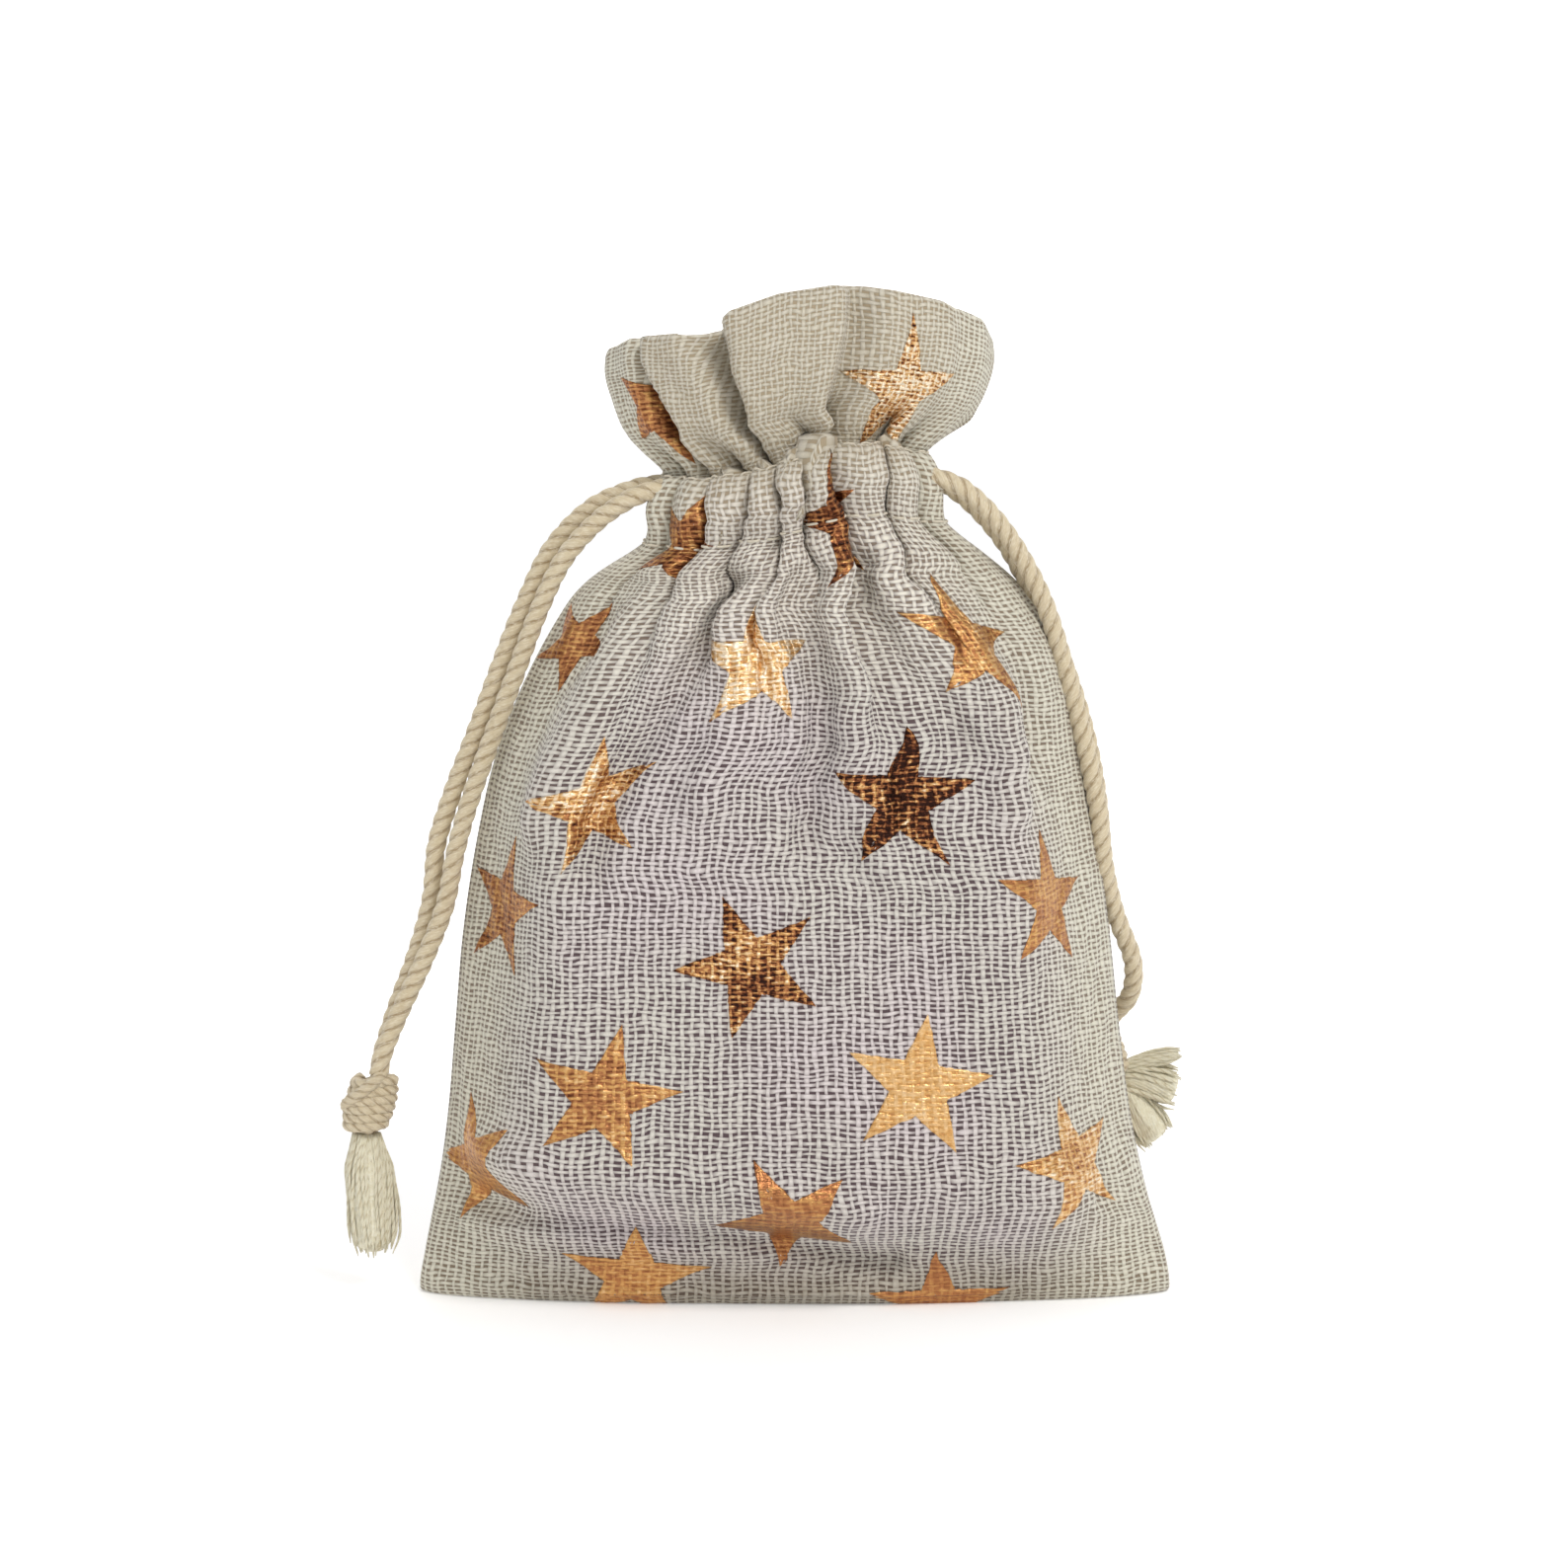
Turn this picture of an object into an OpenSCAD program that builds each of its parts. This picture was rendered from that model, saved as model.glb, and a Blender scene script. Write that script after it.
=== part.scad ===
// Drawstring gift sack of open plain-weave cloth, drawn shut by two cords.
// Millimetres. +Z is up, the front faces -Y, and the origin is the middle of the base.

/* [Sack body] */
// Half of the width across the base
base_half_w = 48; // [44:0.5:52]
// Half of the depth of the base
base_half_d = 9.5; // [8:0.5:12]
// Half of the width at the middle of the filled part
belly_half_w = 42; // [40:0.5:44]
// Half of the depth at the middle of the filled part
belly_half_d = 18.8; // [16:0.2:22]
// Thickness of the cloth
cloth_t = 0.8; // [0.6:0.1:1]
// Width of the overlocked seam allowance inside
seam_w = 5; // [4:0.5:6]

/* [Casing and frill] */
// Height of the casing that holds the cords
casing_h = 9; // [8.8:0.1:9.6]
// Half of the straight run across the gathered neck
neck_half_run = 6; // [5:0.5:7]
// Outer radius of the gathered neck's round ends
neck_r = 11; // [10.6:0.1:11.6]
// Height of the top of the frill
frill_top_z = 129.5; // [126:0.5:132]
// Half of the width across the top of the frill
frill_half_w = 24.5; // [22:0.5:28]
// Half of the depth across the top of the frill
frill_half_d = 14.5; // [13:0.5:17]
// Thickness of the frill's two layers of cloth
frill_t = 1.6; // [1.4:0.1:2]

/* [Cords] */
// Diameter of the twisted cotton cord
cord_d = 2.5; // [2:0.1:2.5]
// Height of the left cord inside the casing
left_cord_z = 101.6; // [101.3:0.1:101.7]
// Height of the right cord inside the casing
right_cord_z = 105.2; // [105.1:0.1:105.5]
// How far a drawn cord can still be pulled out
draw_travel = 2; // [0.5:0.5:2]

/* [Foil stars] */
// Distance from a star's centre to its tips
star_tip_r = 8.6; // [8:0.1:9]
// Distance from a star's centre to its inner corners
star_inner_r = 3.5; // [3:0.1:4]

/* [Hidden] */
$fn = 48;

cloth = [0.79, 0.77, 0.73];
thread = [0.86, 0.83, 0.76];
cord = [0.80, 0.70, 0.52];
frayed = [0.86, 0.78, 0.60];
foil = [0.82, 0.52, 0.30];

// Heights of the body's sections, with the half width, half depth and squareness of each
stations = [
    [0, base_half_w, base_half_d, 2],
    [5, 46.9, 12, 2.1],
    [12, 45.5, 14.8, 2.4],
    [20, 44.4, 16.8, 2.6],
    [34, 42.6, belly_half_d - 0.3, 2.8],
    [47, belly_half_w - 0.7, belly_half_d, 2.8],
    [60, 39.2, 19.4, 2.7],
    [70, 37, 19.2, 2.6],
    [79, 34.3, 17.8, 2.4],
    [86, 31.2, 16.4, 2.2],
    [92, 27.2, 14.6, 2],
    [96, 22.8, 13, 2],
    [99, neck_half_run + neck_r, neck_r, 2]
];
body_top_z = stations[len(stations) - 1][0];
casing_z = body_top_z;
body_rows = 28;
round_steps = 30;
under_shares = [0, 0.35, 0.7];

casing_wall = 0.8;
casing_half_x = 12;
casing_gap = 4.8;
cord_run_r = neck_r - casing_wall - casing_gap + cord_d / 2 + 0.35;
bight_shift = draw_travel;
exit_x = 17.2;
exit_y = 1.75;
exit_gap = 1.2;

frill_z = casing_z + casing_h + 0.4;
frill_rows = 9;
frill_waves = 3;
side_slit_deg = 9;

thread_d = 0.5;
stitch_len = 2.2;
stitch_pitch = 3.2;
foil_gap = 0.25;
foil_t = 0.2;

// Each star's direction round the sack from its middle in degrees, its height, and its turn
front_stars = [
    [-7, 81, 8], [36, 81, 22], [-38, 64, -20], [18, 64.5, 5], [-60, 49, 10],
    [48, 51, 30], [-7, 42.5, 25], [-35, 27, 30], [22, 27, -10], [50, 18, 15],
    [-64, 17.5, 20], [-2, 12, 40]
];
back_stars = [
    [8, 81, 20], [-36, 78, 5], [40, 63, -12], [-16, 62, 30], [58, 46, 0],
    [-50, 45, 18], [6, 41, -25], [34, 25, 12], [-24, 26, 40], [-54, 20, 8],
    [2, 13, -10]
];
front_frill_stars = [[32, 119, 10], [-38, 117, 30]];
back_frill_stars = [[-20, 119, 25]];
frill_star_share = 0.8;

// The free strands, from the mouth of the casing down to the knots
left_front_route = [[-18, -1.8, 101.6], [-21, -2, 101.3], [-25, -2, 99.4], [-29, -2, 95.4],
    [-32.5, -2, 90.6], [-35.4, -2, 85.2], [-38, -2, 79], [-40.3, -2, 72.6], [-42.2, -2, 66.4],
    [-43.6, -2, 60.2], [-44.8, -1.9, 54.2], [-46.6, -1.8, 48.2], [-48.8, -1.7, 42.4],
    [-50.8, -1.7, 36.8], [-52.4, -1.6, 31.2]];
left_back_route = [[-18, 1.8, 101.6], [-21.5, 1.6, 102.1], [-26, 1.2, 100.6], [-30.4, 1.1, 96.8],
    [-34.2, 1.1, 91.8], [-37.3, 1.1, 86], [-40, 1.1, 79.6], [-42.4, 1.1, 73], [-44.6, 1.2, 66.6],
    [-46.2, 1.3, 60.4], [-47.4, 1.4, 54.6], [-48.6, 1.5, 48.6], [-50.2, 1.5, 42.6],
    [-52, 1.5, 36.8], [-53.6, 1.5, 31.2]];
right_front_route = [[18, -1.8, 105.2], [21, -2, 104], [24.4, -2, 101.2], [27.6, -2, 97],
    [30.8, -1.8, 92.4], [34, -1.4, 87.2], [37, -0.6, 81.4], [39.6, 0.4, 75], [41.6, 1.4, 68.6],
    [43, 2.4, 62], [44, 3.6, 56.2], [44.8, 5, 50.4], [46, 7, 45.4], [46.6, 9.4, 40.6],
    [45.4, 12.2, 36.4], [42.8, 14.6, 33.8]];
right_back_route = [[18, 1.8, 105.2], [21.6, 2, 104.6], [25.8, 2.2, 102.4], [29.6, 2.6, 98],
    [32.8, 3, 93], [35.8, 3.8, 87.6], [38.4, 4.8, 81.6], [40.8, 6, 75.2], [42.4, 7.2, 68.8],
    [43.4, 8.4, 62.2], [43.4, 9.8, 56], [43, 11.4, 50], [42.4, 13.4, 44.4], [41.4, 15.6, 39],
    [40, 17.4, 33.8]];

left_knot_at = [-53, 0, 25.6];
right_knot_at = [41.4, 16.2, 28];
knot_r = 3.2;
knot_h = 10.6;
tassel_r = 3.1;
tassel_len = 13;
tassel_gap = 0.4;
right_knot_tilt = 0;
right_tassel_tilt = -72;

function span_of(z) = max([0, for (i = [0:len(stations) - 2]) if (z >= stations[i][0]) i]);
function half_size(z, column) = let (i = span_of(z), a = stations[i], b = stations[i + 1],
    t = min(1, max(0, (z - a[0]) / (b[0] - a[0])))) a[column] + (b[column] - a[column]) * t;
function half_w(z) = half_size(z, 1);
function half_d(z) = half_size(z, 2);
function square_of(z) = half_size(z, 3);

// Cosine and sine of a direction round a section, squared off by its squareness
function bent(x, n) = sign(x) * pow(abs(x), 2 / n);

// Joins two grids of points, one inside the other, into one closed sheet
function grid_faces(rows, columns) = let (n = rows * columns) [
    for (r = [0:rows - 2], c = [0:columns - 2]) let (k = r * columns + c)
        each [[k, k + columns, k + columns + 1], [k, k + columns + 1, k + 1],
            [n + k, n + k + columns + 1, n + k + columns], [n + k, n + k + 1, n + k + columns + 1]],
    for (r = [0:rows - 2]) let (k = r * columns)
        each [[k, n + k, n + k + columns], [k, n + k + columns, k + columns]],
    for (r = [0:rows - 2]) let (k = r * columns + columns - 1)
        each [[k, n + k + columns, n + k], [k, k + columns, n + k + columns]],
    for (c = [0:columns - 2])
        each [[c, c + 1, n + c + 1], [c, n + c + 1, n + c]],
    for (c = [0:columns - 2]) let (k = (rows - 1) * columns + c)
        each [[k, n + k + 1, k + 1], [k, n + k, n + k + 1]]
];

module sheet(outer, inner) {
    rows = len(outer);
    columns = len(outer[0]);
    polyhedron([for (row = outer) each row, for (row = inner) each row], grid_faces(rows, columns));
}

// One row of the front panel, taken in from the outside by inset, with its depth times share
function body_row(z, inset, share = 1) = [for (i = [0:round_steps]) let (a = 180 * i / round_steps)
    [(half_w(z) - inset) * bent(cos(a), square_of(z)),
        -(half_d(z) - inset) * share * bent(sin(a), square_of(z)), max(z, inset)]];
function panel_rows(inset) = [
    for (share = under_shares) body_row(0, inset, share),
    for (r = [0:body_rows]) body_row(body_top_z * r / body_rows, inset)];

module panel() {
    color(cloth) sheet(panel_rows(0), panel_rows(cloth_t));
}

module front_panel() { panel(); }

module back_panel() { rotate([0, 0, 180]) panel(); }

// The two raw edges of cloth, overlocked together, that stand inwards from the side seam
module seam_allowance() {
    rows = 24;
    low = 3;
    high = body_top_z - 3;
    function at(r) = low + (high - low) * r / rows;
    edge = [for (r = [0:rows]) [half_w(at(r)) - cloth_t + 0.2, at(r)]];
    back = [for (r = [rows:-1:0]) [half_w(at(r)) - cloth_t - seam_w, at(r)]];
    color(cloth) rotate([90, 0, 0]) linear_extrude(2 * cloth_t, center = true)
        polygon(concat(edge, back));
}

module right_seam_allowance() { seam_allowance(); }

module left_seam_allowance() { rotate([0, 0, 180]) seam_allowance(); }

// Overlock stitches that wrap the raw edge of the seam allowance
module seam_stitching() {
    pitch = 6;
    for (z = [6:pitch:body_top_z - 6])
        color(thread) translate([half_w(z) - cloth_t - seam_w + 1, 0, z])
            for (side = [-1, 1])
                translate([0, side * (cloth_t + thread_d / 2 + 0.02), 0])
                    cylinder(d = thread_d, h = stitch_len, center = true);
}

module right_seam_stitching() { seam_stitching(); }

module left_seam_stitching() { rotate([0, 0, 180]) seam_stitching(); }

// Outline of the gathered neck at a radius, as the front half of a shape with two round ends
function neck_arc(r) = [for (i = [0:32]) let (a = 180 * i / 32, side = a < 90 ? 1 : -1)
    [side * (a == 90 ? 0 : neck_half_run) + r * cos(a), -r * sin(a)]];

module neck_ring(outer, inner) {
    intersection() {
        difference() {
            hull_ends(outer);
            hull_ends(inner);
        }
        translate([-casing_half_x, -2 * neck_r]) square([2 * casing_half_x, 2 * neck_r]);
    }
}

module hull_ends(r) {
    square([2 * neck_half_run, 2 * r], center = true);
    for (side = [-1, 1]) translate([side * neck_half_run, 0]) circle(r);
}

// The hem that is turned down and stitched to make a tunnel for the cords
module casing() {
    color(cloth) translate([0, 0, casing_z]) difference() {
        linear_extrude(casing_h) neck_ring(neck_r, neck_r - 2 * casing_wall - casing_gap);
        translate([0, 0, casing_wall]) linear_extrude(casing_h - 2 * casing_wall)
            tunnel();
    }
}

// The tunnel runs right through, so the cords leave it at both sides
module tunnel() {
    difference() {
        hull_ends(neck_r - casing_wall);
        hull_ends(neck_r - casing_wall - casing_gap);
    }
}

module front_casing() { casing(); }

module back_casing() { rotate([0, 0, 180]) casing(); }

// Rows of running stitches along the bottom and the top of the tunnel
module casing_stitching() {
    reach = 9;
    out = neck_r + thread_d / 2 + 0.02;
    color(thread) for (z = [casing_z + 0.6, casing_z + casing_h - 0.6], x = [-2:2])
        if (abs(x * stitch_pitch) <= reach)
            translate([x * 2.6, -out, z]) rotate([0, 90, 0])
                cylinder(d = thread_d, h = stitch_len - 0.4, center = true);
}

module front_casing_stitching() { casing_stitching(); }

module back_casing_stitching() { rotate([0, 0, 180]) casing_stitching(); }

// The frill above the casing flares outwards and dips towards its two sides
function frill_top(a) = frill_top_z - 7 * pow(abs(cos(a)), 2);
function frill_point(a, t, inset) = let (
    z = frill_z + (frill_top(a) - frill_z) * t,
    flare = pow(t, 0.8),
    wave = 0.9 * t * cos(2 * frill_waves * (a - 90)),
    w = 15.5 + (frill_half_w - 15.5) * flare - inset + wave,
    d = 10.6 + (frill_half_d - 10.6) * flare - inset + wave)
    [w * cos(a), -d * sin(a), z];
function frill_grid(inset) = [for (r = [0:frill_rows]) [for (i = [0:round_steps])
    frill_point(side_slit_deg + (180 - 2 * side_slit_deg) * i / round_steps, r / frill_rows, inset)]];

module frill() {
    color(cloth) sheet(frill_grid(0), frill_grid(frill_t));
}

module front_frill() { frill(); }

module back_frill() { rotate([0, 0, 180]) frill(); }

// Outline of a star round its centre, in the plane of the cloth, as corners and points between them
function star_corner(i, turn) = let (r = i % 2 == 0 ? star_tip_r : star_inner_r, a = 90 + turn + 36 * i)
    [r * cos(a), r * sin(a)];
function star_outline(turn) = [for (i = [9:-1:0]) each [star_corner(i, turn),
    (star_corner(i, turn) + star_corner(i - 1, turn)) / 2]];

// A point on the body's front, at a direction and a height, out from the cloth
function on_body(dir, z, out) =
    [(half_w(z) + out) * bent(sin(dir), square_of(z)), -(half_d(z) + out) * bent(cos(dir), square_of(z)), z];
function on_frill(dir, z, out) = frill_point(90 - dir,
    (z - frill_z) / (frill_top(90 - dir) - frill_z), -out);
function per_degree(w, d, dir) = sqrt(pow(w * cos(dir), 2) + pow(d * sin(dir), 2)) * PI / 180;

// A star of three nested outlines above and the same three below
module star_solid(top, bottom) {
    n = len(top) / 3;
    m = 3 * n;
    polyhedron(concat(top, bottom), [
        [for (i = [0:n - 1]) i],
        [for (i = [n - 1:-1:0]) m + i],
        for (k = [0:1], i = [0:n - 1]) let (a = k * n + i, b = k * n + (i + 1) % n)
            each [[a, a + n, b + n], [a, b + n, b], [m + a, m + b + n, m + a + n], [m + a, m + b, m + b + n]],
        for (i = [0:n - 1]) let (a = 2 * n + i, b = 2 * n + (i + 1) % n)
            each [[a, m + a, m + b], [a, m + b, b]]]);
}

function star_layer(s, share, step) = [for (f = [0.12, 0.56, 1], c = star_outline(s[2]))
    [s[0] + share * f * c[0] / step, s[1] + share * f * c[1]]];

module body_star(s) {
    spots = star_layer(s, 1, per_degree(half_w(s[1]), half_d(s[1]), s[0]));
    color(foil) star_solid([for (p = spots) on_body(p[0], p[1], foil_gap + foil_t)],
        [for (p = spots) on_body(p[0], p[1], foil_gap)]);
}

module frill_star(s) {
    spots = star_layer(s, frill_star_share, per_degree(frill_half_w - 4, frill_half_d - 2, s[0]));
    color(foil) star_solid([for (p = spots) on_frill(p[0], p[1], foil_gap + foil_t)],
        [for (p = spots) on_frill(p[0], p[1], foil_gap)]);
}

module front_foil_stars() { for (s = front_stars) body_star(s); }

module back_foil_stars() { rotate([0, 0, 180]) for (s = back_stars) body_star(s); }

module front_frill_foil_stars() { for (s = front_frill_stars) frill_star(s); }

module back_frill_foil_stars() { rotate([0, 0, 180]) for (s = back_frill_stars) frill_star(s); }

// One cord's bight round the neck, open towards the side where its two strands leave
function loop_route(z) = let (bend_x = neck_half_run + bight_shift, r = cord_run_r, turn = 50) [
    [-exit_x + exit_gap, -exit_y, z],
    for (i = [2:-1:0]) let (a = turn * i / 2) [-neck_half_run - r * sin(a), -r * cos(a), z],
    for (i = [0:8]) let (a = 180 * i / 8) [bend_x + r * sin(a), -r * cos(a), z],
    for (i = [0:2]) let (a = turn * i / 2) [-neck_half_run - r * sin(a), r * cos(a), z],
    [-exit_x + exit_gap, exit_y, z]];

module left_cord_loop() { strand(loop_route(left_cord_z), [0, 0, 1]); }

module right_cord_loop() { rotate([0, 0, 180]) strand(loop_route(right_cord_z), [0, 0, 1]); }

function unit(v) = v / norm(v);
function along(p, i) = unit(p[min(i + 1, len(p) - 1)] - p[max(i - 1, 0)]);

// A cord swept along its route, with side as the direction that it never runs in
module strand(route, side = [0, 1, 0]) {
    sides = 8;
    line = route;
    rings = len(line);
    points = [for (i = [0:rings - 1]) let (t = along(line, i), u = unit(cross(t, side)), v = cross(t, u))
        for (k = [0:sides - 1]) let (a = 360 * k / sides)
            line[i] + cord_d / 2 * (cos(a) * u + sin(a) * v)];
    color(cord) polyhedron(points, [
        [for (k = [0:sides - 1]) k],
        [for (k = [sides - 1:-1:0]) (rings - 1) * sides + k],
        for (i = [0:rings - 2], k = [0:sides - 1]) let (a = i * sides + k, b = i * sides + (k + 1) % sides)
            each [[a, a + sides, b + sides], [a, b + sides, b]]]);
}

module left_cord_front_strand() { strand(left_front_route); }

module left_cord_back_strand() { strand(left_back_route); }

module right_cord_front_strand() { strand(right_front_route); }

module right_cord_back_strand() { strand(right_back_route); }

// The overhand knot that ties a cord's two ends together
module knot() {
    color(cord) rotate_extrude() polygon([
        [0, -knot_h / 2], [2.2, -knot_h / 2], [knot_r - 0.3, -knot_h / 2 + 1.6], [knot_r, 0],
        [knot_r - 0.3, knot_h / 2 - 1.6], [2.4, knot_h / 2], [0, knot_h / 2]]);
}

module left_knot() { translate(left_knot_at) knot(); }

module right_knot() { translate(right_knot_at) rotate([0, right_knot_tilt, 0]) knot(); }

// The unravelled yarns of both ends, below the knot, hanging from the origin
module tassel() {
    color(frayed) rotate_extrude() polygon([
        [0, 0], [tassel_r - 0.7, -3], [tassel_r, -tassel_len * 0.55],
        [tassel_r - 0.5, -tassel_len + 1.6], [1.2, -tassel_len], [0, -tassel_len]]);
}

module left_tassel() {
    translate(left_knot_at - [0, 0, knot_h / 2 + tassel_gap]) tassel();
}

module right_tassel() {
    translate(right_knot_at + [knot_r * 0.55, 0.4, -knot_h / 2 - tassel_gap - 1])
        rotate([0, right_tassel_tilt, 0]) tassel();
}

front_panel();
back_panel();
left_seam_allowance();
right_seam_allowance();
left_seam_stitching();
right_seam_stitching();
front_casing();
back_casing();
front_casing_stitching();
back_casing_stitching();
front_frill();
back_frill();
front_foil_stars();
back_foil_stars();
front_frill_foil_stars();
back_frill_foil_stars();
left_cord_loop();
left_cord_front_strand();
left_cord_back_strand();
left_knot();
left_tassel();
right_cord_loop();
right_cord_front_strand();
right_cord_back_strand();
right_knot();
right_tassel();
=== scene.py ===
import math
import random

import bpy
import numpy as np
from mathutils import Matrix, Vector


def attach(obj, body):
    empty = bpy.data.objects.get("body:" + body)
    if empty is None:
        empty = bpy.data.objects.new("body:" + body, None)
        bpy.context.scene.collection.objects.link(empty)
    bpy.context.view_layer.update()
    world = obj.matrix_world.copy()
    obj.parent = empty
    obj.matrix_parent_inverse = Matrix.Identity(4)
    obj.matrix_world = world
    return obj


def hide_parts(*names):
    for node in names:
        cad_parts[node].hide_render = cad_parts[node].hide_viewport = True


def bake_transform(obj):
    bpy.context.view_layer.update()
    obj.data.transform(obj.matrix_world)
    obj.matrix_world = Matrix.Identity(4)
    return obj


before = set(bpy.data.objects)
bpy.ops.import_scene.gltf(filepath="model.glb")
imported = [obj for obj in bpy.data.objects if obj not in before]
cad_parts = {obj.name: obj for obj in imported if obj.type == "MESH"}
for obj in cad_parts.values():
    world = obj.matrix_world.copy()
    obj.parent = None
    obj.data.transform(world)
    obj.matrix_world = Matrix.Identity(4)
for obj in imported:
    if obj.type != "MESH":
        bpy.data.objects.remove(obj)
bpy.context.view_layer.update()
MM = 0.001
scene = bpy.context.scene

# ---------------------------------------------------------------- cloth shape, in millimetres

CLOTH_W = 100.0
HEM = 32.0
HEM_GAP = 1.1
STEP = 0.8
CLOTH_T = 0.45
FLOOR_GAP = 0.02
UV_MM = 200.0

# cloth length from the bottom fold, height, half width, half depth, boxiness from 0 to 1, sideways shift
PROFILE = [
    (0, 0.3, 48.2, 0.25, 0, 0),
    (9, 0.35, 48.2, 8.4, 0, 0),
    (10.4, 1.3, 48.2, 9.2, 0, 0),
    (14.2, 4.8, 47.6, 10.8, 0.05, 0),
    (19.2, 8.9, 46.6, 13.7, 0.2, -0.2),
    (24.5, 12.9, 45.6, 17.0, 0.5, -0.4),
    (28, 16.2, 44.9, 18.4, 0.75, -0.5),
    (34, 22.1, 43.9, 18.8, 0.95, -0.7),
    (47, 35.1, 42.4, 18.4, 1.0, -1.0),
    (59, 47.1, 41.2, 18.2, 1.0, -1.1),
    (71, 59.1, 39.4, 18.2, 1.0, -1.0),
    (82, 70.0, 37.2, 18.0, 0.9, -0.6),
    (91, 78.6, 34.7, 17.2, 0.65, 0.3),
    (99, 85.9, 31.4, 16.0, 0.3, 0.8),
    (106, 91.8, 27.2, 14.6, 0.1, 0.6),
    (110.5, 95.2, 23.6, 13.4, 0, 0.1),
    (113, 97.4, 20.8, 12.1, 0, 0),
    (114.5, 98.7, 19.4, 11.7, 0, 0),
    (116.5, 100.6, 18.8, 12.6, 0, 0),
    (119.5, 103.4, 18.4, 13.4, 0, 0),
    (122, 106.1, 17.8, 13.0, 0, 0),
    (123.6, 107.4, 17.0, 11.2, 0, 0),
    (124.8, 107.3, 16.4, 8.8, 0, 0),
    (126.4, 108.2, 17.0, 8.4, 0, 0.1),
    (129, 110.8, 19.4, 9.6, 0, 0.2),
    (133, 114.7, 21.4, 11.2, 0, 0.4),
    (139, 120.6, 22.8, 12.8, 0, 0.6),
    (144, 125.5, 23.2, 13.6, 0, 0.7),
    (147, 128.6, 23.0, 14.0, 0, 0.7),
]
V_STITCH = 114.0
V_NECK = 124.0
V_TOP = 147.0
NECK_Z = 107.8
# sections with a smaller half depth than this have no room for pleats
FLAT_BELOW = 6
# how much the casing leans: its lift at places from one side seam to the other
TILT_PLACES = [-50, -30, -16, 0, 12, 24, 38, 50]
FRONT_TILT = [-2.2, -2.4, -1.4, 0.2, 2.0, 2.2, 1.2, 0.4]
BACK_TILT = [-2.2, -1.8, -1.2, -0.4, 0, 0.2, 0.4, 0.4]
# how far the parts of the frill that don't stand up fall outwards
FRONT_FLOP = 7
BACK_FLOP = 1

# each valley between two pleats: place across the cloth, depth at the casing, depth at the frill's
# top, reach down the body, how far its bottom leans under the next pleat, and its place at the top
FRONT_PLEATS = [
    (-50, 2.5, 0.6, 10, 0, -50),
    (-40, 4.4, 0.4, 26, 0.1, -45),
    (-29, 7.4, 4.4, 42, 0.55, -36),
    (-17, 5.6, 0.2, 26, 0.3, -30),
    (-7, 7.6, 6.2, 44, 0.35, -20),
    (4.5, 5.6, 0.4, 22, -0.2, 2),
    (14, 8.2, 3.2, 34, -0.6, 18),
    (27, 7.0, 0.3, 46, 0.4, 30),
    (39, 4.6, 0.8, 26, 0, 38),
    (50, 2.5, 0.6, 10, 0, 50),
]
BACK_PLEATS = [
    (-50, 2.5, 0.6, 10, 0, -50),
    (-39, 4.8, 1.0, 24, 0.2, -42),
    (-27, 7.2, 3.8, 36, 0.35, -26),
    (-14, 6.0, 0.6, 30, -0.3, -14),
    (-3, 7.8, 4.4, 42, 0.4, 2),
    (8, 5.6, 0.4, 22, 0, 12),
    (19, 7.4, 3.6, 36, -0.45, 20),
    (30, 5.6, 0.6, 26, 0.2, 32),
    (40, 4.4, 1.6, 24, 0, 42),
    (50, 2.5, 0.6, 10, 0, 50),
]
# folds of the filled body as lines across the cloth: points, depth inwards, half width
FRONT_FOLDS = [
    ([(-49, 33), (-28, 32), (-8, 30), (8, 26)], -2.0, 4.6),
    ([(-49, 25.5), (-28, 24.5), (-8, 22.5), (12, 17)], 2.6, 4.2),
    ([(40, 26), (50, 20)], 1.4, 3.0),
    ([(-24, 108), (-29, 96), (-33, 84), (-34, 76)], -2.0, 6.0),
    ([(-36, 106), (-42, 92), (-43, 80)], 1.6, 5.0),
    ([(-6, 110), (-7, 100), (-10, 80)], -2.6, 6.5),
    ([(-14, 110), (-18, 98), (-23, 84), (-25, 70)], 2.8, 5.5),
    ([(0, 108), (1, 98), (3, 86), (3, 74)], 2.4, 4.5),
    ([(9, 108), (9, 98), (11, 84), (13, 72)], -2.6, 6.0),
    ([(17, 108), (19, 98), (22, 86)], 2.6, 5.0),
    ([(24, 108), (27, 96), (30, 84), (31, 78)], -2.2, 6.0),
    ([(34, 106), (37, 92), (38, 84)], 1.8, 5.0),
]
BACK_FOLDS = [
    ([(34, 104), (39, 60)], -1.8, 6.0),
    ([(46, 24), (20, 20), (-6, 16)], 1.8, 3.6),
    ([(-30, 104), (-38, 84)], -1.6, 5.0),
    ([(4, 106), (6, 84)], 1.2, 4.0),
    ([(-12, 104), (-14, 88)], -1.0, 4.0),
    ([(-50, 20), (-38, 16)], 1.4, 3.0),
]


def smooth(t):
    t = np.clip(t, 0, 1)
    return t * t * (3 - 2 * t)


def profile(v):
    """The columns of the profile, apart from the first, at lengths v along the cloth."""
    table = np.array(PROFILE, float)
    t = table[:, 0]
    rows = []
    for k in range(1, 6):
        y = table[:, k]
        m = np.gradient(y, t)
        i = np.clip(np.searchsorted(t, v, side="right") - 1, 0, len(t) - 2)
        h = t[i + 1] - t[i]
        x = np.clip((v - t[i]) / h, 0, 1)
        rows.append(
            (2 * x**3 - 3 * x**2 + 1) * y[i]
            + (x**3 - 2 * x**2 + x) * h * m[i]
            + (-2 * x**3 + 3 * x**2) * y[i + 1]
            + (x**3 - x**2) * h * m[i + 1]
        )
    return rows


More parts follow.
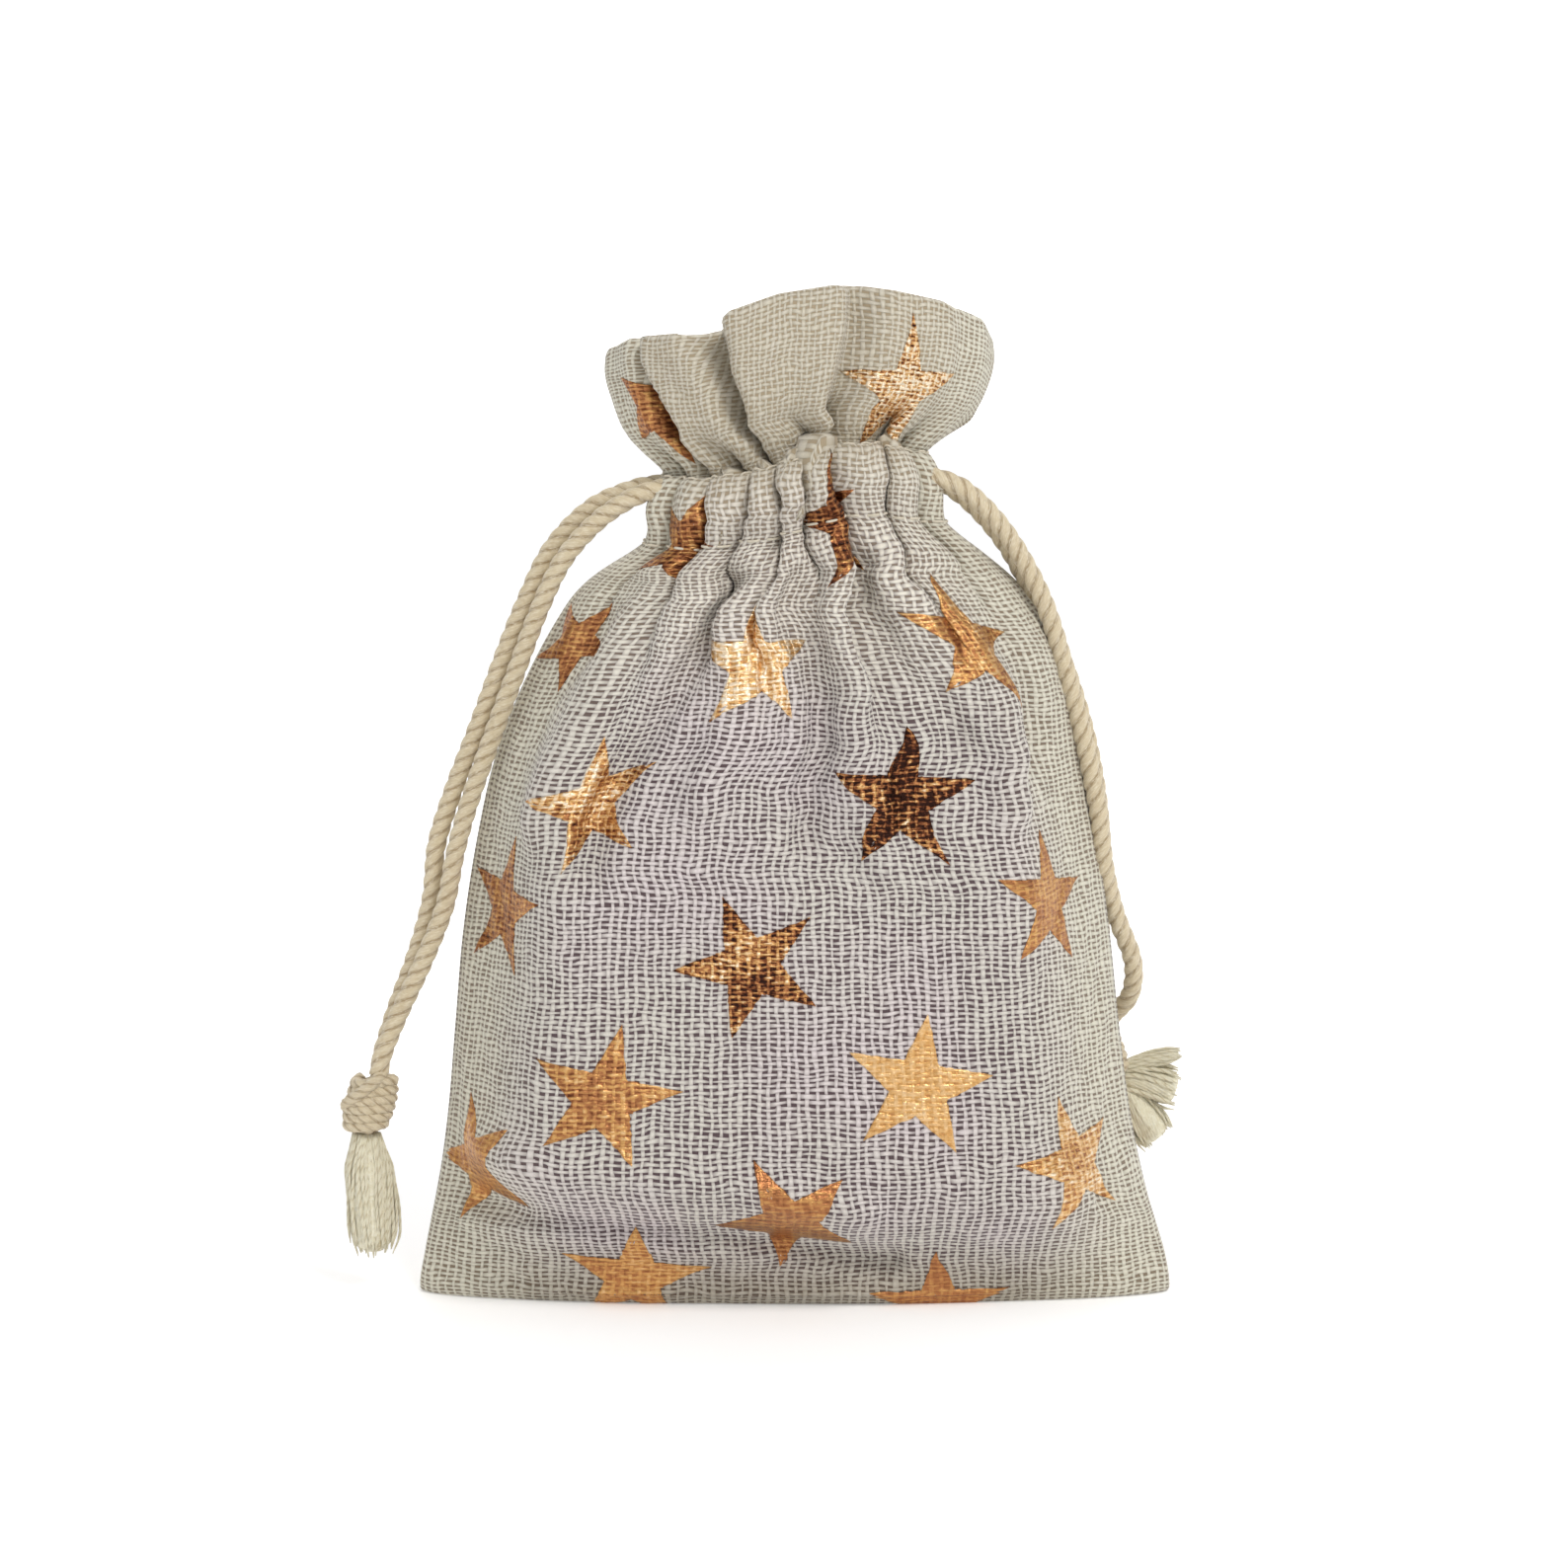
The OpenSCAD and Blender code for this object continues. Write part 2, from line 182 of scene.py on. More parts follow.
def section(t, boxy):
    """Depth at t from -1 to 1 across: an ellipse, or a flat front with slanted side walls."""
    oval = np.sqrt(np.clip(1 - t * t, 0, 1))
    flat = 1 - 0.05 * t * t
    wall = (1 - np.abs(t)) / 0.27
    box = flat + wall - np.sqrt((flat - wall) ** 2 + 0.03)
    box = np.clip(box / 2 + 0.012, 0, 1) * np.clip((1 - np.abs(t)) / 0.02, 0, 1)
    return oval * (1 - boxy) + box * boxy


def segment_distance(s, v, a, b):
    """How far each place is from the line between two points."""
    d = np.array(b, float) - np.array(a, float)
    t = np.clip(((s - a[0]) * d[0] + (v - a[1]) * d[1]) / (d @ d), 0, 1)
    return np.hypot(s - a[0] - t * d[0], v - a[1] - t * d[1])


def lumps(s, v, seed):
    """Soft uneven waves, the same on each run."""
    rng = random.Random(seed)
    out = np.zeros_like(s)
    for _ in range(14):
        a = rng.uniform(0, 2 * math.pi)
        length = rng.uniform(11, 34)
        k = 2 * math.pi / length
        wave = k * (s * math.cos(a) + v * math.sin(a)) + rng.uniform(0, 6.28)
        out += np.cos(wave) * length / 34
    return out / 5


def depth_map(s, v, pleats, folds, seed):
    """How far the cloth lies inside its outline at each place."""
    up = smooth((v - V_NECK) / (V_TOP - V_NECK))
    d = np.zeros_like(s)
    lean = np.zeros_like(s)
    loose = smooth((v - 70) / 30) * smooth((50 - np.abs(s)) / 14)
    s = s + 1.5 * loose * lumps(s * 1.3, v * 1.9, seed + 20) * (1 - 0.6 * up)
    soon = smooth((v - V_NECK) / 10)
    crisp = smooth((v - 92) / 14) * (1 - 0.85 * soon)
    climb = np.clip((v - V_NECK) / (V_TOP - V_NECK), 0, 1) ** 0.8
    for a, b in zip(pleats, pleats[1:]):
        first = a[0] + (a[5] - a[0]) * climb
        half = (b[0] + (b[5] - b[0]) * climb - first) / 2
        t = (s - first - half) / half
        inside = np.abs(t) <= 1
        t = np.clip(t, -1, 1)
        shape = crisp * (1 - np.sqrt(1 - t * t)) + (1 - crisp) * (1 - np.cos(math.pi * t)) / 2
        for (_, casing, top, reach, leaning, _), mine in ((a, t < 0), (b, t >= 0)):
            down = np.clip((V_STITCH - v) / reach, 0, 1)
            amount = np.where(v < V_STITCH, casing * (1 - down) ** 1.4, casing + (top - casing) * soon)
            d += np.where(inside & mine, amount * shape, 0)
            lean += np.where(inside & mine, amount * shape * leaning, 0)
    puff = np.exp(-(((v - (V_STITCH + 5.5)) / 3.6) ** 2))
    d -= puff * smooth((50 - np.abs(s)) / 8) * (0.9 + 1.0 * lumps(s * 2.2, v * 1.2, seed + 40))
    body = smooth((v - 6) / 8) * smooth((V_STITCH + 2 - v) / 10)
    rim = smooth((50 - np.abs(s)) / 13)
    for points, depth, half in folds:
        near = np.min([segment_distance(s, v, a, b) for a, b in zip(points, points[1:])], axis=0)
        d += depth * np.cos(np.clip(near / half, 0, 1) * math.pi / 2) ** 2 * body * rim
    edge = smooth((50 - np.abs(s)) / 5)
    d = d * (0.25 + 0.75 * edge)
    d += 0.7 * lumps(s, v, seed) * edge * body
    return d, lean


def frill_rise(s, side):
    """How much of its length each part of the frill stands up, from one side seam to the other."""
    if side < 0:
        places = [-50, -40, -30, -22, -12, 0, 10, 20, 34, 44, 50]
        shares = [0.60, 0.68, 0.70, 0.72, 0.82, 0.95, 1.0, 0.99, 0.90, 0.80, 0.68]
    else:
        places = [-50, -36, -16, 4, 24, 40, 50]
        shares = [0.50, 0.50, 0.62, 0.78, 0.80, 0.66, 0.58]
    return np.interp(s, places, shares)


def cloth_points(s, v, side):
    """Points of one sheet, side -1 for the front and 1 for the back. s and v are equal-shaped grids."""
    pleats, folds, seed = (FRONT_PLEATS, FRONT_FOLDS, 3) if side < 0 else (BACK_PLEATS, BACK_FOLDS, 8)
    count = len(v)
    z, half_w, half_d, boxy, shift = profile(v[:, 0])
    d, lean = depth_map(s, v, pleats, folds, seed)
    slope = np.gradient(d, axis=1) / np.gradient(s, axis=1)
    advance = np.sqrt(np.clip(1 - slope**2, 0.03, 1))
    along = np.cumsum((advance[:, 1:] + advance[:, :-1]) / 2, axis=1)
    along = np.concatenate([np.zeros((count, 1)), along], axis=1)
    along = along / along[:, -1:]
    t_line = np.sin(np.linspace(-math.pi / 2, math.pi / 2, 1001))
    out = np.zeros(s.shape + (3,))
    for r in range(count):
        x = half_w[r] * t_line
        y = half_d[r] * section(t_line, boxy[r])
        arc = np.concatenate([[0], np.cumsum(np.hypot(np.diff(x), np.diff(y)))])
        tx, ty = np.gradient(x, arc), np.gradient(y, arc)
        at = along[r] * arc[-1]
        px, py = np.interp(at, arc, x), np.interp(at, arc, y)
        nx, ny = -np.interp(at, arc, ty), np.interp(at, arc, tx)
        size = np.hypot(nx, ny) + 1e-9
        inward = np.minimum(d[r], 0.82 * np.hypot(px, py) + 0.01)
        if half_d[r] < FLAT_BELOW:
            inward = inward * 0
        out[r, :, 0] = px - inward * nx / size + shift[r] + lean[r]
        out[r, :, 1] = side * np.maximum(py - inward * ny / size, 0.0)
        out[r, :, 2] = z[r]
    up = smooth((v - V_NECK) / (V_TOP - V_NECK))
    rise = frill_rise(s, side)
    standing = 1 + (rise - 1) * smooth((v - V_NECK) / 10)
    out[:, :, 2] = np.where(v > V_NECK, NECK_Z + (out[:, :, 2] - NECK_Z) * standing, out[:, :, 2])
    tilt = FRONT_TILT if side < 0 else BACK_TILT
    out[:, :, 2] += np.interp(s, TILT_PLACES, tilt) * smooth((v - 102) / 14) * smooth((140 - v) / 14)
    flop = (1 - rise) * up * (FRONT_FLOP if side < 0 else BACK_FLOP)
    out[:, :, 1] += side * flop * np.cos(np.clip(s / 50, -1, 1) * math.pi / 2) * 0.7
    out[:, :, 0] += np.sign(s) * flop * np.abs(s / 50) ** 2 * 0.55
    return out


def grid_axes():
    """The places of a sheet's points across the cloth and along it."""
    columns = int(round(CLOTH_W / STEP)) + 1
    rows = int(round(V_TOP / STEP)) + 1
    return np.linspace(-50, 50, columns), np.linspace(0, V_TOP, rows)


def new_object(name, points, faces):
    mesh = bpy.data.meshes.new(name)
    mesh.from_pydata([tuple(p) for p in points], [], faces)
    mesh.update()
    mesh.polygons.foreach_set("use_smooth", [True] * len(mesh.polygons))
    obj = bpy.data.objects.new(name, mesh)
    scene.collection.objects.link(obj)
    return obj


def mark_points(obj, key, values):
    """Keeps one number at each point, for the materials."""
    mark = obj.data.attributes.new(key, "FLOAT", "POINT")
    mark.data.foreach_set("value", np.array(values, float))


def quads(rows, columns, flip=False):
    """The faces between the points of a grid."""
    out = []
    for r in range(rows - 1):
        for c in range(columns - 1):
            k = r * columns + c
            f = (k, k + 1, k + columns + 1, k + columns)
            out.append(f[::-1] if flip else f)
    return out


# how firmly the body keeps the shape it is given while it settles, and for how many frames
HOLD = 0.16
FRAMES = 30


def settle(grids):
    """Lets both sheets relax as cloth, held at the seams, the casing and the base."""
    made = []
    for side, grid in grids.items():
        rows, columns = grid.shape[:2]
        obj = new_object("settling", grid.reshape(-1, 3) * MM, quads(rows, columns, side > 0))
        held = obj.vertex_groups.new(name="held")
        v = grid_axes()[1]
        for r in range(rows):
            for c in range(columns):
                weight = HOLD
                if min(c, columns - 1 - c) < 3 or v[r] < 10.5 or v[r] > V_STITCH - 2:
                    weight = 1.0
                elif v[r] > V_STITCH - 10:
                    weight = HOLD + (1 - HOLD) * (v[r] - V_STITCH + 10) / 8
                held.add([r * columns + c], weight, "REPLACE")
        cloth = obj.modifiers.new("cloth", "CLOTH")
        c = cloth.settings
        c.quality = 8
        c.mass = 0.25
        c.tension_stiffness = 12
        c.compression_stiffness = 8
        c.shear_stiffness = 3
        c.bending_stiffness = 1.2
        c.vertex_group_mass = "held"
        c.pin_stiffness = 1.0
        c.shrink_min = 0.0
        c.use_pressure = True
        c.uniform_pressure_force = 1.0
        c.effector_weights.gravity = 0.15
        cloth.collision_settings.use_collision = False
        cloth.point_cache.frame_start = 1
        cloth.point_cache.frame_end = FRAMES
        made.append((side, obj))
    scene.frame_start, scene.frame_end = 1, FRAMES
    for f in range(1, FRAMES + 1):
        scene.frame_set(f)
    out = {}
    graph = bpy.context.evaluated_depsgraph_get()
    for side, obj in made:
        done = obj.evaluated_get(graph)
        mesh = done.to_mesh()
        co = np.zeros(len(mesh.vertices) * 3)
        mesh.vertices.foreach_get("co", co)
        out[side] = co.reshape(grids[side].shape) / MM
        done.to_mesh_clear()
        bpy.data.objects.remove(obj, do_unlink=True)
    scene.frame_set(1)
    return out


s_line, v_line = grid_axes()
S, V = np.meshgrid(s_line, v_line)
shapes = settle({side: cloth_points(S, V, side) for side in (-1, 1)})
for side in shapes:
    shapes[side][:, 0] = shapes[side][:, 0] * [1, 0, 1]
    shapes[side][:, -1] = shapes[side][:, -1] * [1, 0, 1]
    shapes[side][:, :, 1] = side * np.maximum(side * shapes[side][:, :, 1], 0.05)
    shapes[side][:, :, 2] = np.maximum(shapes[side][:, :, 2], 0.3)


def grid_normals(grid, side):
    n = np.cross(np.gradient(grid, axis=1), np.gradient(grid, axis=0)) * (-side)
    return n / (np.linalg.norm(n, axis=2, keepdims=True) + 1e-9)


def build_cloth(side, name):
    """The sheet with its hem turned in at the top, as one closed skin."""
    grid = shapes[side]
    rows, columns = grid.shape[:2]
    normal = grid_normals(grid, side)
    hem_rows = int(HEM / STEP)
    line = [grid[r] for r in range(rows)]
    lengths = list(v_line)
    top = grid[-1]
    rise = grid[-1] - grid[-2]
    rise = rise / np.linalg.norm(rise, axis=1, keepdims=True)
    inward = -normal[-1]
    half_gap = HEM_GAP / 2
    for k in (1, 2, 3):
        a = math.pi * k / 4
        line.append(top + inward * half_gap * (1 - math.cos(a)) + rise * half_gap * math.sin(a))
        lengths.append(V_TOP + 0.5 * k)
    for k in range(hem_rows):
        r = rows - 1 - k
        open_up = float(smooth((V_NECK + 1 - v_line[r]) / 3)) * float(smooth((v_line[r] - V_STITCH) / 3))
        line.append(grid[r] - normal[r] * (HEM_GAP + open_up))
        lengths.append(V_TOP + 2 + k * STEP)
    outer = np.array(line)
    count = outer.shape[0]
    thick = grid_normals(outer, side) * (CLOTH_T / 2)
    front, back = outer + thick, outer - thick
    points = np.concatenate([front.reshape(-1, 3), back.reshape(-1, 3)])
    points[:, 2] = np.maximum(points[:, 2], FLOOR_GAP)
    total = count * columns
    faces = quads(count, columns, side > 0)
    faces += [tuple(i + total for i in f[::-1]) for f in quads(count, columns, side > 0)]
    loop = [r * columns for r in range(count - 1, 0, -1)]
    loop += list(range(columns - 1))
    loop += [r * columns + columns - 1 for r in range(count - 1)]
    loop += [(count - 1) * columns + c for c in range(columns - 1, 0, -1)]
    for a, b in zip(loop, loop[1:] + loop[:1]):
        f = (a, b, b + total, a + total)
        faces.append(f if side > 0 else f[::-1])
    obj = new_object(name, points * MM, faces)
    uv = obj.data.uv_layers.new(name="cloth")
    u_at = np.tile((s_line + 50) / UV_MM, count)
    v_at = np.repeat(np.array(lengths) / UV_MM, columns)
    index = np.zeros(len(obj.data.loops), int)
    obj.data.loops.foreach_get("vertex_index", index)
    index = index % total
    uv.data.foreach_set("uv", np.stack([u_at[index], v_at[index]], 1).ravel())
    return obj


front_cloth = build_cloth(-1, "front_cloth")
back_cloth = build_cloth(1, "back_cloth")

# ---------------------------------------------------------------- foil stars

ELEVATION = math.radians(7)
STAR_WAIST = 0.39


def sample(grid, normal, s, v):
    """Points and normals of a sheet at places on its cloth."""
    c = np.clip((np.asarray(s) + 50) / STEP, 0, grid.shape[1] - 1.001)
    r = np.clip(np.asarray(v) / (V_TOP / (grid.shape[0] - 1)), 0, grid.shape[0] - 1.001)
    ci, ri = c.astype(int), r.astype(int)
    cf, rf = (c - ci)[:, None], (r - ri)[:, None]

    def mix(g):
        return (
            g[ri, ci] * (1 - cf) * (1 - rf)
            + g[ri, ci + 1] * cf * (1 - rf)
            + g[ri + 1, ci] * (1 - cf) * rf
            + g[ri + 1, ci + 1] * cf * rf
        )

    n = mix(normal)
    return mix(grid), n / (np.linalg.norm(n, axis=1, keepdims=True) + 1e-9)


def seen_at(side, x, height, low=0, high=V_TOP):
    """Where on the cloth a spot lies that is seen x across and height up from the front."""
    grid = shapes[side]
    across = grid[:, :, 0] * (-side)
    up = grid[:, :, 2] * math.cos(ELEVATION) - side * grid[:, :, 1] * math.sin(ELEVATION)
    away = (across - x) ** 2 + (up - height) ** 2
    away = np.where((V >= low) & (V <= high), away, 1e9)
    r, c = np.unravel_index(np.argmin(away), away.shape)
    return S[r, c], V[r, c]


def star_radius(a, tip, inner):
    """Distance from the centre to a five-pointed star's edge in the direction a."""
    sector = math.pi / 5
    t = (a % (2 * sector)) / sector
    t = 2 - t if t > 1 else t
    p = np.array([tip, 0.0])
    q = inner * np.array([math.cos(sector), math.sin(sector)])
    d = np.array([math.cos(t * sector), math.sin(t * sector)])
    n = np.array([-(q - p)[1], (q - p)[0]])
    return float(p @ n / (d @ n))


def foil_piece(name, side, stars, seed):
    """Stars that lie on a sheet and follow its folds, as thin closed skins."""
    grid = shapes[side]
    normal = grid_normals(grid, side)
    rng = random.Random(seed)
    points, faces, uvs, tones, ripples = [], [], [], [], []
    rings, spokes = 16, 100
    for s0, v0, turn, tip, tone, ripple in stars:
        s, v = [s0], [v0]
        for k in range(1, rings + 1):
            for j in range(spokes):
                a = 2 * math.pi * j / spokes
                edge = star_radius(a, tip, tip * STAR_WAIST)
                if k >= rings - 1:
                    edge *= 1 + rng.uniform(-0.035, 0.03)
                r = edge * k / rings
                s.append(s0 + r * math.sin(a + math.radians(turn)))
                v.append(v0 + r * math.cos(a + math.radians(turn)))
        s, v = np.array(s), np.array(v)
        keep = (v > 0.4) & (v < V_TOP - 0.5) & (np.abs(s) < 49.5)
        at, n = sample(grid, normal, s, v)
        base = len(points)
        for lift in (CLOTH_T / 2 + 0.10, CLOTH_T / 2 + 0.01):
            points.extend(at + n * lift)
            uvs.extend(np.stack([(s + 50) / UV_MM, v / UV_MM], 1))
        count = 1 + rings * spokes
        tones.extend([tone] * (2 * count))
        ripples.extend([ripple] * (2 * count))

        def add(*i):
            if all(keep[k % count] for k in i):
                faces.append(tuple(base + k for k in i))

        for j in range(spokes):
            j1 = (j + 1) % spokes
            add(0, 1 + j1, 1 + j)
            add(count, count + 1 + j, count + 1 + j1)
            for k in range(rings - 1):
                a, b = 1 + k * spokes + j, 1 + k * spokes + j1
                add(a, b, b + spokes, a + spokes)
                add(count + a, count + a + spokes, count + b + spokes, count + b)
            a, b = 1 + (rings - 1) * spokes + j, 1 + (rings - 1) * spokes + j1
            add(a, b, b + count, a + count)
    if side > 0:
        faces = [f[::-1] for f in faces]
    points = np.array(points)
    points[:, 2] = np.maximum(points[:, 2], FLOOR_GAP)
    obj = new_object(name, points * MM, faces)
    layer = obj.data.uv_layers.new(name="cloth")
    index = np.zeros(len(obj.data.loops), int)
    obj.data.loops.foreach_get("vertex_index", index)
    layer.data.foreach_set("uv", np.array(uvs)[index].ravel())
    mark_points(obj, "tone", tones)
    mark_points(obj, "ripple", ripples)
    return obj


# across, height as seen from the front, turn, tip radius, how dark its painted reflections are, strength
# of the ripples in its painted reflections and bumps
FRONT_STARS = [
    (-4.0, 80.0, 0, 9.4, -0.3, 0.8),
    (21.9, 82.6, 12, 9.6, 0.35, 0.6),
    (-25.2, 63.2, -18, 9.0, 0.15, 1.0),
    (12.8, 63.0, 4, 9.6, 1.3, 1.5),
    (-36.2, 50.0, 8, 9.2, 0.55, 0.6),
    (31.6, 50.4, 6, 9.0, 0.45, 0.4),
    (-5.2, 43.0, -22, 9.6, 0.85, 1.3),
    (-24.2, 26.0, 12, 9.4, 0.42, 0.6),
    (15.0, 27.4, 10, 9.4, 0.0, 0.35),
    (35.4, 17.4, -12, 9.2, 0.08, 0.75),
    (-40.6, 17.4, -20, 9.0, 0.4, 0.4),
    (-0.8, 10.4, -24, 9.2, 0.5, 0.35),
    (-20.8, 3.0, 6, 9.6, 0.3, 0.4),
    (18.0, -0.8, 0, 9.4, 0.5, 0.3),
    (-13.0, 95.4, 20, 9.0, 0.7, 0.7),
    (6.0, 98.2, -8, 9.0, 0.9, 0.8),
    (-27.8, 83.0, 30, 7.0, 0.6, 0.5),
]
FRONT_FRILL_STARS = [
    (13.2, 114.2, -4, 11.2, -0.15, 1.3),
    (-16.6, 112.4, 24, 8.6, 0.65, 0.6),
]
BACK_STARS = [
    (4.0, 80, 12, 9.2, 0.3, 0.6),
    (-22, 82, -8, 9.2, 0.5, 0.4),
    (26, 66, 20, 9.2, 0.2, 0.8),
    (-12, 62, 4, 9.4, 0.8, 0.9),
    (-34, 50, -14, 9.0, 0.4, 0.4),
    (8, 43, 30, 9.4, 0.6, 0.3),
    (33, 40, 0, 9.0, 0.3, 0.5),
    (-20, 28, 16, 9.4, 0.5, 0.8),
    (18, 22, -10, 9.4, 0.2, 0.2),
    (-38, 16, 8, 9.0, 0.4, 0.4),
    (-2, 13.5, 20, 9.2, 0.7, 0.6),
    (36, 14, -22, 9.0, 0.5, 0.3),
]
BACK_FRILL_STARS = [
    (-10, 114, 10, 9.0, 0.4, 0.6),
    (15, 113, -16, 8.8, 0.5, 0.4),
]


def placed(side, stars, low, high):
    """The stars with their places on the cloth."""
    out = []
    for x, height, turn, tip, tone, ripple in stars:
        s, v = seen_at(side, x, height, low, high)
        out.append((s, v, turn if side < 0 else -turn, tip, tone, ripple))
    return out


foils = {
    name: foil_piece(name, side, placed(side, stars, low, high), seed)
    for name, side, stars, low, high, seed in (
        ("front_foil", -1, FRONT_STARS, 2, V_NECK, 1),
        ("back_foil", 1, BACK_STARS, 2, V_NECK, 2),
        ("front_frill_foil", -1, FRONT_FRILL_STARS, V_NECK, V_TOP - 3, 3),
        ("back_frill_foil", 1, BACK_FRILL_STARS, V_NECK, V_TOP - 3, 4),
    )
}

# ---------------------------------------------------------------- stitches


STITCH_PITCH = 3.1
STITCH_HALF = 1.05


def stitch_piece(name, side):
    """Both rows of channel stitching: short threads that dip into the cloth at their ends."""
    grid = shapes[side]
    normal = grid_normals(grid, side)
    points, faces = [], []
    rings, spokes = 7, 6
    for v0 in (V_STITCH + 0.6, V_NECK - 0.4):
        for k in range(-15, 16):
            s = np.linspace(k * STITCH_PITCH - STITCH_HALF, k * STITCH_PITCH + STITCH_HALF, rings)
            at, n = sample(grid, normal, s, np.full(rings, v0))
            t = np.gradient(at, axis=0)
            t /= np.linalg.norm(t, axis=1, keepdims=True) + 1e-9
            w = np.cross(t, n)
            lift = CLOTH_T / 2 + 0.13 - 0.22 * np.abs(np.linspace(-1, 1, rings)) ** 3
            base = len(points)
            for i in range(rings):
                for j in range(spokes):
                    a = j * 2 * math.pi / spokes
                    up = n[i] * (lift[i] + 0.15 * math.sin(a))
                    points.append(at[i] + up + w[i] * 0.17 * math.cos(a))
            for i in range(rings - 1):
                for j in range(spokes):
                    a, b = base + i * spokes + j, base + i * spokes + (j + 1) % spokes
                    faces.append((a, b, b + spokes, a + spokes))
            faces.append(tuple(base + j for j in range(spokes - 1, -1, -1)))
            faces.append(tuple(base + (rings - 1) * spokes + j for j in range(spokes)))
    return new_object(name, np.array(points) * MM, faces)


stitches = {"front": stitch_piece("front_stitches", -1), "back": stitch_piece("back_stitches", 1)}

# ---------------------------------------------------------------- cords, knots and tassels

CORD_D = 2.5
PLY_TURN = 6.2


def spline(points, step=0.45):
    """An even smooth line through the points."""
    p = [np.array(q, float) for q in points]
    p = [2 * p[0] - p[1]] + p + [2 * p[-1] - p[-2]]
    out = []
    for i in range(1, len(p) - 2):
        a, b, c, d = p[i - 1 : i + 3]
        n = max(2, int(np.linalg.norm(c - b) / (step / 3)))
        for k in range(n):
            t = k / n
            square = 2 * a - 5 * b + 4 * c - d
            cube = 3 * b - a - 3 * c + d
            out.append(0.5 * (2 * b + (c - a) * t + square * t**2 + cube * t**3))
    out.append(p[-2])
    out = np.array(out)
    length = np.concatenate([[0], np.cumsum(np.linalg.norm(np.diff(out, axis=0), axis=1))])
    count = max(3, int(round(length[-1] / step)) + 1)
    even = np.linspace(0, length[-1], count)
    return np.stack([np.interp(even, length, out[:, k]) for k in range(3)], 1)


def frames(line):
    """The direction along a line and two directions across it that don't twist."""
    t = np.gradient(line, axis=0)
    t /= np.linalg.norm(t, axis=1, keepdims=True)
    u = np.cross(t[0], [0.3, 1.0, 0.2])
    u /= np.linalg.norm(u)
    us = []
    for k in range(len(line)):
        u = u - t[k] * (u @ t[k])
        u /= np.linalg.norm(u)
        us.append(u.copy())
    us = np.array(us)
    return t, us, np.cross(t, us)


def tube(line, radius, sides=24, plies=0, turn=PLY_TURN, groove=0.2, phase=0.0, taper=None):
    """Points, faces and along-and-round coordinates of a closed tube, lobed like twisted plies."""
    _, u, w = frames(line)
    step = np.concatenate([[0], np.cumsum(np.linalg.norm(np.diff(line, axis=0), axis=1))])
    ang = np.arange(sides) * 2 * math.pi / sides
    points, coords = [], []
    for k, p in enumerate(line):
        twist = 2 * math.pi * step[k] / turn + phase
        r = np.full(sides, radius)
        if plies:
            r = radius * (1 - groove * (1 - np.abs(np.cos(plies * (ang - twist) / 2))) ** 1.3)
        if taper is not None:
            r = r * taper[k]
        points.extend(p + np.outer(r * np.cos(ang), u[k]) + np.outer(r * np.sin(ang), w[k]))
        coords.extend([(step[k], (a - twist) / (2 * math.pi)) for a in ang])
    n = len(line)
    faces = []
    for k in range(n - 1):
        for j in range(sides):
            a, b = k * sides + j, k * sides + (j + 1) % sides
            faces.append((a, b, b + sides, a + sides))
    faces.append(tuple(range(sides - 1, -1, -1)))
    faces.append(tuple((n - 1) * sides + j for j in range(sides)))
    return points, faces, coords


def join_tubes(name, tubes):
    """One object from several tubes."""
    points, faces, coords = [], [], []
    for p, f, c in tubes:
        base = len(points)
        points.extend(p)
        coords.extend(c)
        faces.extend(tuple(i + base for i in face) for face in f)
    obj = new_object(name, np.array(points) * MM, faces)
    for key, values in zip(("along", "around"), np.array(coords, float).T):
        mark_points(obj, key, values)
    return obj


# the middle of each free strand, from inside the channel down into its knot
LEFT_FRONT = [
    (-15.6, -3.4, 103.8), (-17.4, -4.2, 103.7), (-20.8, -4.8, 102.5), (-25, -4.6, 99.6),
    (-29.2, -4.2, 94.8), (-32.4, -3.8, 88.2), (-35.2, -3.4, 80.8), (-38.4, -3, 72.2),
    (-41.4, -2.8, 63.8), (-43.2, -2.6, 57.4), (-44.6, -2.4, 50.6), (-47.4, -2.1, 43.4),
    (-50.6, -1.7, 36.6), (-52.8, -1.4, 31.2), (-53.4, -1.2, 28.4),
]
LEFT_BACK = [
    (-15.2, -0.8, 104.1), (-17, -1, 104.2), (-21, -1.4, 103.4), (-26, -1.4, 101),
    (-30.8, -1.2, 96), (-34.2, -1, 89.2), (-37.2, -0.8, 81.8), (-40.4, -0.6, 73.2),
    (-43.6, -0.3, 65), (-45.8, 0, 58), (-46.6, 0.6, 51), (-48.6, 1, 43.8),
    (-51.2, 1.2, 36.8), (-53, 1.3, 31.2), (-53.5, 1.1, 28.4),
]
RIGHT_FRONT = [
    (15.2, -4.3, 105.6), (17, -4.6, 105.4), (21.4, -4.6, 103.6), (26.4, -4.2, 98.4),
    (31, -3.6, 90.4), (34, -3, 81.6), (36.6, -2.2, 72), (38.6, -1.2, 62.8),
    (39.6, 0.4, 55.2), (41.2, 2.4, 48.8), (43.6, 4.6, 42.4), (43.6, 7.4, 37.6),
    (42, 10.8, 34.6), (40.9, 13.2, 33), (40.6, 14.4, 31.4),
]
RIGHT_BACK = [
    (15.2, -0.2, 105.3), (17.4, -0.4, 105), (22, -0.6, 102), (26.8, -0.6, 96.4),
    (31, -0.4, 88.4), (34.6, 0.2, 80.2), (37.4, 1.2, 71), (39, 2.6, 62),
    (39.4, 4.4, 54), (39.6, 6.8, 47), (39.8, 9.8, 41.4), (40, 12.8, 36.8),
    (40, 15.2, 33.4), (40.2, 15.8, 31.6),
]

